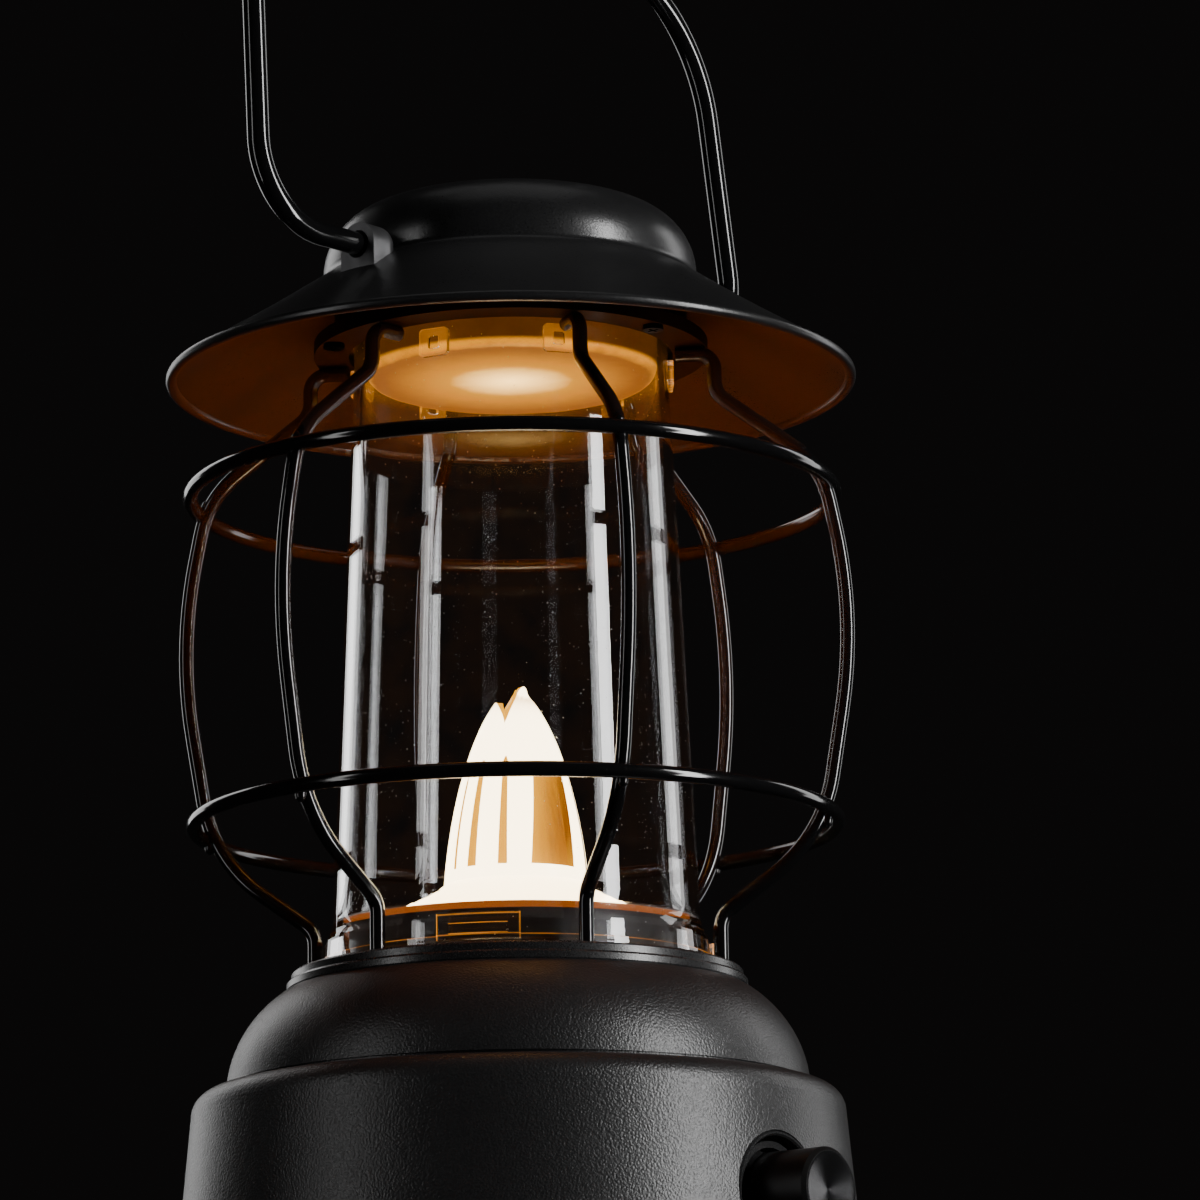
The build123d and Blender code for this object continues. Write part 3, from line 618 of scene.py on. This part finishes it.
@dataclass(frozen=True)
class LitClear(Finish):
    """Clear platform with warm light running out through its edge."""

    inner: Colour = (1.0, 0.42, 0.05)
    edge: Colour = (0.30, 0.065, 0.0005)
    radius: float = 34 * MM
    strength: float = 1.1

    def dress(self, graph: Graph) -> None:
        """Bright near the dome, amber at the rim.

        Args:
            graph: the graph to fill.
        """
        x, y, _ = graph.parts(graph.place())
        reach = (x * x + y * y).root() / self.radius
        ripples = graph.noise(1.2 * MM, 2.0)
        graph.feed("Emission Color", graph.blend(reach.span(0.55, 0.98), self.inner, self.edge))
        graph.feed("Roughness", ripples * 0.1 + 0.1)
        graph.bump(ripples, 0.02 * MM, 0.5)
        graph.fix(Base_Color=(*WARM_SKIN, 1.0), Emission_Strength=self.strength)


@dataclass(frozen=True)
class Floor(Finish):
    """Pale plain floor that shows on its upper side only."""

    colour: Colour = (0.42, 0.415, 0.41)

    def dress(self, graph: Graph) -> None:
        """Soft mottling; the underside lets everything through.

        Args:
            graph: the graph to fill.
        """
        mottle = graph.noise(0.12, 3.0)
        graph.feed("Base Color", graph.blend(mottle, self.colour, scaled(self.colour, 0.97)))
        graph.feed("Roughness", mottle * 0.1 + 0.6)
        below = graph.node("ShaderNodeNewGeometry", output="Backfacing")
        clear = graph.node("ShaderNodeBsdfTransparent")
        faced = graph.node("ShaderNodeMixShader", inputs={0: below, 2: clear})
        mixer = faced.socket.node
        graph.tree.links.new(graph.shader.outputs[0], mixer.inputs[1])
        end = next(n for n in graph.tree.nodes if n.type == "OUTPUT_MATERIAL")
        graph.tree.links.new(faced.socket, end.inputs["Surface"])


knob_low, knob_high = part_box("knob")
KNOB_CENTRE = tuple((knob_low + knob_high) / 2)

BASE = SparkTexture("fine_grain_black", SATIN_BLACK, grain=0.38 * MM, relief=0.14 * MM, gloss=0.36)
HAT = SparkTexture("satin_hat_coat", SATIN_BLACK, grain=0.35 * MM, relief=0.03 * MM, gloss=0.30)
COAT = SparkTexture(
    "semi_gloss_coat", (0.010, 0.010, 0.0103), grain=0.35 * MM, relief=0.02 * MM, gloss=0.28
)
PLATE = SparkTexture(
    "matte_plate_black", (0.003, 0.003, 0.003), grain=0.35 * MM, relief=0.02 * MM, gloss=0.62, shine=0.12
)
KNOB_BARREL = SparkTexture(
    "knob_barrel_black", (0.004, 0.004, 0.004), grain=0.30 * MM, relief=0.015 * MM, gloss=0.30, shine=0.35
)
WIRE = Enamel("gloss_wire_enamel")
LUG = Plated("dark_satin_lug", (0.22, 0.22, 0.225), gloss=0.34, metallic=0.9)
RUBBER = Rubber("matte_rubber")
SEAL = Rubber("pale_seal", (0.05, 0.05, 0.05))
CELL = Moulded("cell_sleeve", (0.02, 0.09, 0.22), gloss=0.25)
GREEN_BOARD = Moulded("green_board", (0.008, 0.09, 0.03), gloss=0.3)
WHITE_BOARD = Moulded("white_board", (0.75, 0.75, 0.72), gloss=0.4)
STEEL = Plated("zinc_plate")
BLACK_STEEL = Plated("black_oxide", (0.012, 0.012, 0.0125), gloss=0.5)
SHAFT = Spun("turned_steel", (0.5, 0.5, 0.5), gloss=0.25, pitch=0.3 * MM, centre=KNOB_CENTRE)
KNOB_FACE = Spun("spun_knob_face", (0.08, 0.08, 0.083), gloss=0.15, pitch=0.22 * MM, centre=KNOB_CENTRE)
SPREADER = Spun("machined_spreader", (0.6, 0.6, 0.6), gloss=0.3, pitch=0.4 * MM, along=Axis.Z)
TUBE = ClearTube("clear_tube")
DIFFUSER = Glow(
    "lit_diffuser",
    bright=(1.0, 0.58, 0.16),
    middle=(0.24, 0.088, 0.0016),
    dim=(0.085, 0.023, 0.0001),
    edge=(0.24, 0.085, 0.001),
    strength=5.0,
    wall_from=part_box("top_diffuser")[0].z + 1.0 * MM,
)
DOME = Glow(
    "lit_dome",
    bright=(1.0, 0.80, 0.48),
    middle=(1.0, 0.80, 0.48),
    dim=(1.0, 0.76, 0.42),
    edge=(0.5, 0.22, 0.02),
    reach=24.5 * MM,
    strength=9.0,
)
FLAME = FlameGlow("flame_light")
PLATFORM = LitClear("lit_platform")
EMITTER = Glow(
    "emitter",
    bright=(1.0, 0.8, 0.5),
    middle=(1.0, 0.8, 0.5),
    dim=(1.0, 0.7, 0.4),
    edge=(1.0, 0.7, 0.4),
    strength=3.0,
)

DRESS: dict[str, Finish] = {
    "base_shell": BASE,
    "base_dome": BASE,
    "bottom_cover": BASE,
    "knob_dish": COAT,
    "rubber_foot": RUBBER,
    "port_cover": RUBBER,
    "chimney_gasket": SEAL,
    "top_gasket": SEAL,
    "base_rim_ring": COAT,
    "hat_shell": HAT,
    "lamp_housing": PLATE,
    "cage_top_plate": PLATE,
    "handle_lug_left": LUG,
    "handle_lug_right": LUG,
    "handle": WIRE,
    "cage_ring_upper": WIRE,
    "cage_ring_lower": WIRE,
    "plate_screws": BLACK_STEEL,
    "bottom_screws": STEEL,
    "dome_screws": STEEL,
    "board_screws": STEEL,
    "cage_nuts": STEEL,
    "hat_stud": STEEL,
    "hat_nut": STEEL,
    "dimmer_nut": STEEL,
    "usb_port": STEEL,
    "dimmer_shaft": SHAFT,
    "knob": KNOB_BARREL,
    "knob_cap": KNOB_FACE,
    "heat_spreader": SPREADER,
    "battery_holder": Moulded("holder_black", (0.03, 0.03, 0.03), gloss=0.5),
    "battery_cell_1": CELL,
    "battery_cell_2": CELL,
    "battery_leads": Moulded("lead_sleeve", (0.35, 0.02, 0.015), gloss=0.4),
    "control_board": GREEN_BOARD,
    "charge_board": GREEN_BOARD,
    "flame_board": WHITE_BOARD,
    "top_led_board": WHITE_BOARD,
    "board_parts": Moulded("component_case", (0.02, 0.02, 0.02), gloss=0.35),
    "dimmer_body": Moulded("dimmer_case", (0.08, 0.08, 0.08), gloss=0.4),
    "flame_base": Moulded("carrier_black", (0.02, 0.018, 0.016), gloss=0.4),
    "charge_light_pipe": Moulded("frosted_pipe", (0.6, 0.6, 0.6), gloss=0.2),
    "flame_leds": EMITTER,
    "top_leds": EMITTER,
    "top_diffuser": DIFFUSER,
    "flame_dome": DOME,
    "flame_platform": PLATFORM,
    "flame_light_guide": FLAME,
    "chimney": TUBE,
}
DRESS.update({f"cage_wire_{number}": WIRE for number in range(1, WIRES + 1)})


def dress_frame() -> None:
    """Give every CAD node its finish."""
    for name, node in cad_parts.items():
        material = DRESS[name].material()
        if node.data.materials:
            for index in range(len(node.data.materials)):
                node.data.materials[index] = material
        else:
            node.data.materials.append(material)
        log.info("dressed %s in %s", name, material.name)


# ------------------------------------------------------------------ mesh helpers


MERGE = 0.002 * MM  # points closer than this become one
SHARP = 50.0  # degrees between two faces that meet in a crisp edge


def solid(name: str, points: Sequence[Vector], faces: Sequence[Sequence[int]]) -> bpy.types.Object:
    """A smooth mesh object from points and faces, merged, with its faces outwards.

    Args:
        name: the piece's name.
        points: its vertices, in metres.
        faces: vertex numbers of each face.

    Returns:
        The linked object.
    """
    mesh = bpy.data.meshes.new(name)
    mesh.from_pydata([tuple(p) for p in points], [], [tuple(f) for f in faces])
    shape = bmesh.new()
    shape.from_mesh(mesh)
    bmesh.ops.remove_doubles(shape, verts=shape.verts, dist=MERGE)
    bmesh.ops.recalc_face_normals(shape, faces=shape.faces)
    shape.to_mesh(mesh)
    shape.free()
    mesh.polygons.foreach_set("use_smooth", [True] * len(mesh.polygons))
    piece = bpy.data.objects.new(name, mesh)
    bpy.context.scene.collection.objects.link(piece)
    return piece


def settle(piece: bpy.types.Object) -> bpy.types.Object:
    """Turn an object's evaluated shape into its plain mesh and drop its modifiers.

    Args:
        piece: object with live modifiers.

    Returns:
        The same object, with a plain mesh.
    """
    graph = bpy.context.evaluated_depsgraph_get()
    mesh = bpy.data.meshes.new_from_object(piece.evaluated_get(graph))
    piece.modifiers.clear()
    piece.data = mesh
    return piece


def adopt(piece: bpy.types.Object, body: Body, slot: Slot, *nodes: str) -> None:
    """Let a finished piece ride a body and stand for CAD nodes.

    Args:
        piece: the finished piece.
        body: body that carries it.
        slot: material slot name; not used.
        nodes: CAD nodes it stands for.
    """
    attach(piece, body.value)
    if nodes:
        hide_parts(*nodes)
    log.info("%s rides %s, %d faces", piece.name, body.value, len(piece.data.polygons))


class NodeTree:
    """A Geometry Nodes tree with named inputs."""

    def __init__(self, name: str) -> None:
        """Start a tree that hands on one geometry.

        Args:
            name: the tree's name.
        """
        self.tree = bpy.data.node_groups.new(name, "GeometryNodeTree")
        self.tree.interface.new_socket("Geometry", in_out="INPUT", socket_type="NodeSocketGeometry")
        self.tree.interface.new_socket("Geometry", in_out="OUTPUT", socket_type="NodeSocketGeometry")
        self.source = self.tree.nodes.new("NodeGroupInput")
        self.sink = self.tree.nodes.new("NodeGroupOutput")
        self.identifiers: dict[str, str] = {}

    def size(self, name: str, kind: str, value: object) -> bpy.types.NodeSocket:
        """Add a named input.

        Args:
            name: the input's name.
            kind: its socket type.
            value: its default.

        Returns:
            The socket that carries it inside the tree.
        """
        made = self.tree.interface.new_socket(name, in_out="INPUT", socket_type=kind)
        made.default_value = value
        self.identifiers[name] = made.identifier
        return self.source.outputs[name]

    def add(self, kind: str, inputs: Mapping[int | str, object]) -> bpy.types.Node:
        """Add a node.

        Args:
            kind: the node's type name.
            inputs: socket to a constant or another socket.

        Returns:
            The node.
        """
        made = self.tree.nodes.new(kind)
        for key, content in inputs.items():
            if isinstance(content, bpy.types.NodeSocket):
                self.tree.links.new(content, made.inputs[key])
            else:
                made.inputs[key].default_value = content
        return made

    def end(self, geometry: bpy.types.NodeSocket, material: bpy.types.Material) -> None:
        """Close the tree with Realize Instances and Set Material.

        Args:
            geometry: what the tree has made.
            material: what it wears.
        """
        real = self.add("GeometryNodeRealizeInstances", {0: geometry})
        inputs = {"Geometry": real.outputs[0], "Material": material}
        dressed = self.add("GeometryNodeSetMaterial", inputs)
        self.tree.links.new(dressed.outputs[0], self.sink.inputs[0])

    def run(self, piece: bpy.types.Object, **values: object) -> bpy.types.Object:
        """Apply the tree to an object.

        Args:
            piece: object whose geometry goes in.
            values: named inputs to set.

        Returns:
            The object with the result as its plain mesh.
        """
        modifier = piece.modifiers.new(self.tree.name, "NODES")
        modifier.node_group = self.tree
        for key, value in values.items():
            modifier[self.identifiers[key]] = value
        return settle(piece)


# ------------------------------------------------------------------ sub-assemblies


@dataclass(frozen=True)
class Window:
    """One slot in the flame's wall.

    Attributes:
        low: bearings of its two sides at the lower end, in degrees.
        high: bearings of its two sides at the upper end.
        top: height where its arch springs.
    """

    low: tuple[float, float]
    high: tuple[float, float]
    top: float


@dataclass(frozen=True)
class Line:
    """One upright line of the flame's grid.

    Attributes:
        low: its bearing below the slots, in degrees.
        high: its bearing above the slots.
        top: height where the slots end on this line.
        opens: whether a slot lies on its further side.
    """

    low: float
    high: float
    top: float
    opens: bool


@dataclass
class Flame:
    """The slotted light guide: one hollow ogive with upright slots and three leaning tips.

    Bearings are in degrees, counted from FLAME_ZERO.
    """

    foot_radius: float = 14.6 * MM
    foot_height: float = 96.8 * MM
    tip_height: float = 141.0 * MM
    low_tip_height: float = 137.9 * MM
    notch_height: float = 131.8 * MM
    tip_offset: float = 2.7 * MM
    first_tip: float = 44.0
    wall: float = 1.5 * MM
    slot_low: float = 103.2 * MM
    arch: float = 1.2 * MM
    least_radius: float = 0.6 * MM
    swell: float = 1.68
    taper: float = 0.6
    lobe: float = 0.55
    leaves: int = 3
    step: float = 3.0
    foot_rows: int = 4
    slot_rows: int = 14
    tip_rows: int = 18
    windows: tuple[Window, ...] = (
        Window((-60.0, -56.5), (-60.0, -57.0), 121.0 * MM),
        Window((-42.5, -34.0), (-41.5, -35.0), 124.0 * MM),
        Window((-14.8, -7.2), (-13.5, -8.0), 124.5 * MM),
        Window((12.0, 53.0), (19.0, 58.0), 123.0 * MM),
        Window((76.0, 83.0), (77.0, 82.0), 123.0 * MM),
        Window((101.0, 107.0), (102.0, 106.0), 124.0 * MM),
        Window((176.0, 181.0), (176.0, 180.0), 124.0 * MM),
        Window((204.0, 209.0), (204.0, 208.0), 123.0 * MM),
        Window((232.0, 262.0), (236.0, 268.0), 123.0 * MM),
    )

    def radius(self, height: float) -> float:
        """Outer radius of the ogive.

        Args:
            height: level above the floor.

        Returns:
            The radius there, never less than that of the tips.
        """
        rise = (height - self.foot_height) / (self.tip_height - self.foot_height)
        ogive = self.foot_radius * max(0.0, 1.0 - max(0.0, rise) ** self.swell) ** self.taper
        return max(ogive, self.tip_offset)

    def tip(self, bearing: float) -> float:
        """Upper end of the wall: three leaves, the last one lower than the others.

        Args:
            bearing: degrees round the flame.

        Returns:
            The height of the wall there.
        """
        spacing = 360.0 / self.leaves
        half = spacing / 2
        across = (bearing - self.first_tip + half) % spacing - half
        leaf = round((bearing - self.first_tip - across) / spacing) % self.leaves
        height = self.low_tip_height if leaf == self.leaves - 1 else self.tip_height
        share = (1.0 - (across / half) ** 2) ** self.lobe
        return self.notch_height + (height - self.notch_height) * share

    def lines(self) -> list[Line]:
        """Divide the slots and the wall between them into upright lines.

        Returns:
            The lines, once round the flame.
        """
        made: list[Line] = []
        for number, window in enumerate(self.windows):
            after = self.windows[(number + 1) % len(self.windows)]
            turn = 360.0 if number + 1 == len(self.windows) else 0.0
            count = max(2, round((window.low[1] - window.low[0]) / self.step))
            for part in range(count):
                share = part / count
                made.append(
                    Line(
                        window.low[0] + (window.low[1] - window.low[0]) * share,
                        window.high[0] + (window.high[1] - window.high[0]) * share,
                        window.top + sin(pi * share) * self.arch,
                        True,
                    )
                )
            gap_low = after.low[0] + turn - window.low[1]
            gap_high = after.high[0] + turn - window.high[1]
            count = max(2, round(gap_low / self.step))
            for part in range(count):
                share = part / count
                made.append(
                    Line(
                        window.low[1] + gap_low * share,
                        window.high[1] + gap_high * share,
                        window.top + (after.top - window.top) * share,
                        False,
                    )
                )
        return made

    def profile(self, line: Line) -> list[tuple[float, float]]:
        """Grid points up one line.

        Args:
            line: the line.

        Returns:
            Bearing and height of every point, from the foot to the tip.
        """
        points = []
        for row in range(self.foot_rows):
            share = row / self.foot_rows
            points.append((line.low, self.foot_height + (self.slot_low - self.foot_height) * share))
        for row in range(self.slot_rows):
            share = row / self.slot_rows
            bearing = line.low + (line.high - line.low) * share
            points.append((bearing, self.slot_low + (line.top - self.slot_low) * share))
        end = self.tip(line.high)
        for row in range(self.tip_rows + 1):
            points.append((line.high, line.top + (end - line.top) * row / self.tip_rows))
        return points

    def build(self) -> None:
        """Make both skins, close every edge between them and finish the piece."""
        lines = self.lines()
        grid = [self.profile(line) for line in lines]
        rows = len(grid[0])
        points = []
        for inner in (0, 1):
            for column in grid:
                for bearing, level in column:
                    reach = max(self.radius(level) - inner * self.wall, (2 - inner) * self.least_radius)
                    angle = radians(FLAME_ZERO + bearing)
                    points.append(Vector((reach * cos(angle), reach * sin(angle), level)))

        def at(inner: int, column: int, row: int) -> int:
            """Number of a grid point."""
            return (inner * len(lines) + column % len(lines)) * rows + row

        def filled(column: int, row: int) -> bool:
            """Tell wall from slot.

            Args:
                column: number of the line before the cell.
                row: number of the point below the cell.

            Returns:
                Whether that cell of the grid is wall.
            """
            if not 0 <= row < rows - 1:
                return False
            slotted = self.foot_rows <= row < self.foot_rows + self.slot_rows
            return not (slotted and lines[column % len(lines)].opens)

        faces = []
        for column in range(len(lines)):
            for row in range(rows - 1):
                if not filled(column, row):
                    continue
                after = column + 1
                corners = ((column, row), (after, row), (after, row + 1), (column, row + 1))
                faces.append(tuple(at(0, *corner) for corner in corners))
                faces.append(tuple(at(1, *corner) for corner in reversed(corners)))
                neighbours = ((column, row - 1), (after, row), (column, row + 1), (column - 1, row))
                for number, neighbour in enumerate(neighbours):
                    if not filled(*neighbour):
                        first, second = corners[number], corners[(number + 1) % 4]
                        faces.append((at(0, *second), at(0, *first), at(1, *first), at(1, *second)))
        piece = solid("flame_petals", points, faces)
        piece.data.set_sharp_from_angle(angle=radians(SHARP))
        piece.data.materials.append(FLAME.material())
        adopt(piece, Body.ROOT, Slot.FLAME, "flame_light_guide")


@dataclass
class Cage:
    """Weld beads at each crossing of the cage's wires and hoops."""

    wires: int = WIRES
    bead_radius: float = 1.15 * MM
    bead_stretch: float = 1.6
    bead_lift: float = 0.42
    names: tuple[str, str] = ("cage_ring_upper", "cage_ring_lower")

    def weld_tree(self) -> NodeTree:
        """Build the tree that sets a small upright bead on every point.

        Returns:
            The tree.
        """
        tree = NodeTree("weld_beads")
        radius = tree.size("Bead Radius", "NodeSocketFloat", self.bead_radius)
        bead = tree.add("GeometryNodeMeshIcoSphere", {"Radius": radius, "Subdivisions": 3})
        smooth = tree.add("GeometryNodeSetShadeSmooth", {0: bead.outputs[0]})
        spread = tree.add(
            "GeometryNodeInstanceOnPoints",
            {
                "Points": tree.source.outputs[0],
                "Instance": smooth.outputs[0],
                "Scale": (1.0, 1.0, self.bead_stretch),
            },
        )
        tree.end(spread.outputs[0], WIRE.material())
        return tree

    def build(self) -> None:
        """Set the weld beads where each hoop crosses each wire."""
        places = []
        for name in self.names:
            low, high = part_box(name)
            middle = (low.z + high.z) / 2
            thickness = high.z - low.z
            radius = (high.x - low.x) / 2 - thickness
            for number in range(self.wires):
                angle = 2 * pi * number / self.wires
                for side in (-1, 1):
                    level = middle + side * thickness * self.bead_lift
                    places.append(Vector((radius * cos(angle), radius * sin(angle), level)))
        piece = solid("cage_welds", places, [])
        self.weld_tree().run(piece, **{"Bead Radius": self.bead_radius})
        adopt(piece, Body.ROOT, Slot.WIRE)


@dataclass
class Studio:
    """Floor, soft lights and camera.  Angles of the camera are in radians, its heading in degrees."""

    heading: float = 49.0
    distance: float = 1.19394
    drop: float = 0.0928
    pitch: float = 0.20799
    yaw: float = 0.01461
    roll: float = -0.01352
    lens: float = 181.54
    waist: float = 0.15
    glow_points: int = 6
    floor_size: float = 6.0
    warm: Colour = (1.0, 0.18, 0.002)
    backdrop: Colour = (0.0042, 0.0038, 0.0038)

    def turned(self, point: Sequence[float]) -> Vector:
        """Turn a point from the camera's bearing to the lantern's frame."""
        return Matrix.Rotation(-radians(self.heading), 3, "Z") @ Vector(point)

    def camera(self) -> None:
        """Long lens, low and looking up."""
        data = bpy.data.cameras.new("camera")
        data.lens = self.lens
        data.sensor_width = 36.0
        data.clip_start, data.clip_end = 0.05, 50.0
        camera = bpy.data.objects.new("camera", data)
        bpy.context.scene.collection.objects.link(camera)
        ahead = Vector((sin(self.yaw) * cos(self.pitch), cos(self.yaw) * cos(self.pitch), sin(self.pitch)))
        right = Vector((cos(self.yaw), -sin(self.yaw), 0.0))
        up = right.cross(ahead)
        rolled_right = cos(self.roll) * right + sin(self.roll) * up
        rolled_up = -sin(self.roll) * right + cos(self.roll) * up
        axes = [self.turned(v) for v in (rolled_right, rolled_up, -ahead)]
        turn = Matrix(axes).transposed().to_4x4()
        camera.matrix_world = Matrix.Translation(self.turned((0.0, -self.distance, -self.drop))) @ turn
        bpy.context.scene.camera = camera

    def softbox(self, name: str, place: Sequence[float], size: tuple[float, float], watts: float) -> None:
        """A rectangular soft light that points at the lantern's waist.

        Args:
            name: its name.
            place: where it stands, from the camera's bearing.
            size: width and height.
            watts: its power.
        """
        data = bpy.data.lights.new(name, "AREA")
        data.shape = "RECTANGLE"
        data.size, data.size_y = size
        data.energy = watts
        light = bpy.data.objects.new(name, data)
        bpy.context.scene.collection.objects.link(light)
        light.location = self.turned(place)
        light.rotation_mode = "QUATERNION"
        aim = Vector((0.0, 0.0, self.waist)) - light.location
        light.rotation_quaternion = aim.to_track_quat("-Z", "Y")
        light.visible_camera = False

    def glow(self, name: str, height: float, reach: float, watts: float) -> None:
        """Warm points of light round the axis that carry the lamp's light past the tube.

        Args:
            name: their name.
            height: how high they stand.
            reach: their distance from the axis.
            watts: power of each.
        """
        for number in range(self.glow_points):
            angle = 2 * pi * (number + 0.5) / self.glow_points
            data = bpy.data.lights.new(f"{name}_{number}", "POINT")
            data.shadow_soft_size = 4 * MM
            data.energy = watts
            data.color = self.warm
            light = bpy.data.objects.new(data.name, data)
            bpy.context.scene.collection.objects.link(light)
            light.location = (reach * cos(angle), reach * sin(angle), height)
            light.visible_camera = False
            light.visible_glossy = False
            light.visible_transmission = False

    def floor(self) -> None:
        """A plain pale sheet under the foot."""
        half = self.floor_size / 2
        corners = [(-half, -half, 0.0), (half, -half, 0.0), (half, half, 0.0), (-half, half, 0.0)]
        mesh = bpy.data.meshes.new("floor")
        mesh.from_pydata(corners, [], [(0, 1, 2, 3)])
        sheet = bpy.data.objects.new("floor", mesh)
        bpy.context.scene.collection.objects.link(sheet)
        mesh.materials.append(Floor("pale_floor").material())
        sheet.visible_glossy = False

    def build(self) -> None:
        """Set up the whole studio."""
        self.camera()
        self.floor()
        self.softbox("soft_left", (-0.95, -0.50, 0.20), (0.12, 1.1), 2.1)
        self.softbox("soft_right", (0.95, -0.50, 0.25), (0.18, 1.2), 20.0)
        self.softbox("soft_back", (0.85, 0.55, 0.35), (0.25, 0.9), 2.2)
        self.softbox("soft_rear_fill", (-0.7, 1.0, 0.5), (0.5, 0.9), 3.0)
        self.softbox("soft_top", (0.0, 0.1, 1.3), (0.8, 0.8), 0.5)
        self.glow("brim_glow", 176 * MM, 44 * MM, 0.17)
        self.glow("flame_glow", 122 * MM, 42 * MM, 0.010)
        world = bpy.data.worlds.new("studio")
        world.use_nodes = True
        backdrop = world.node_tree.nodes["Background"]
        backdrop.inputs["Color"].default_value = (*self.backdrop, 1.0)
        backdrop.inputs["Strength"].default_value = 1.0
        bpy.context.scene.world = world


def main() -> None:
    """Dress the frame, add the pieces and set the studio."""
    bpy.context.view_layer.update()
    dress_frame()
    Flame().build()
    Cage().build()
    Studio().build()


if __name__ == "__main__":
    main()
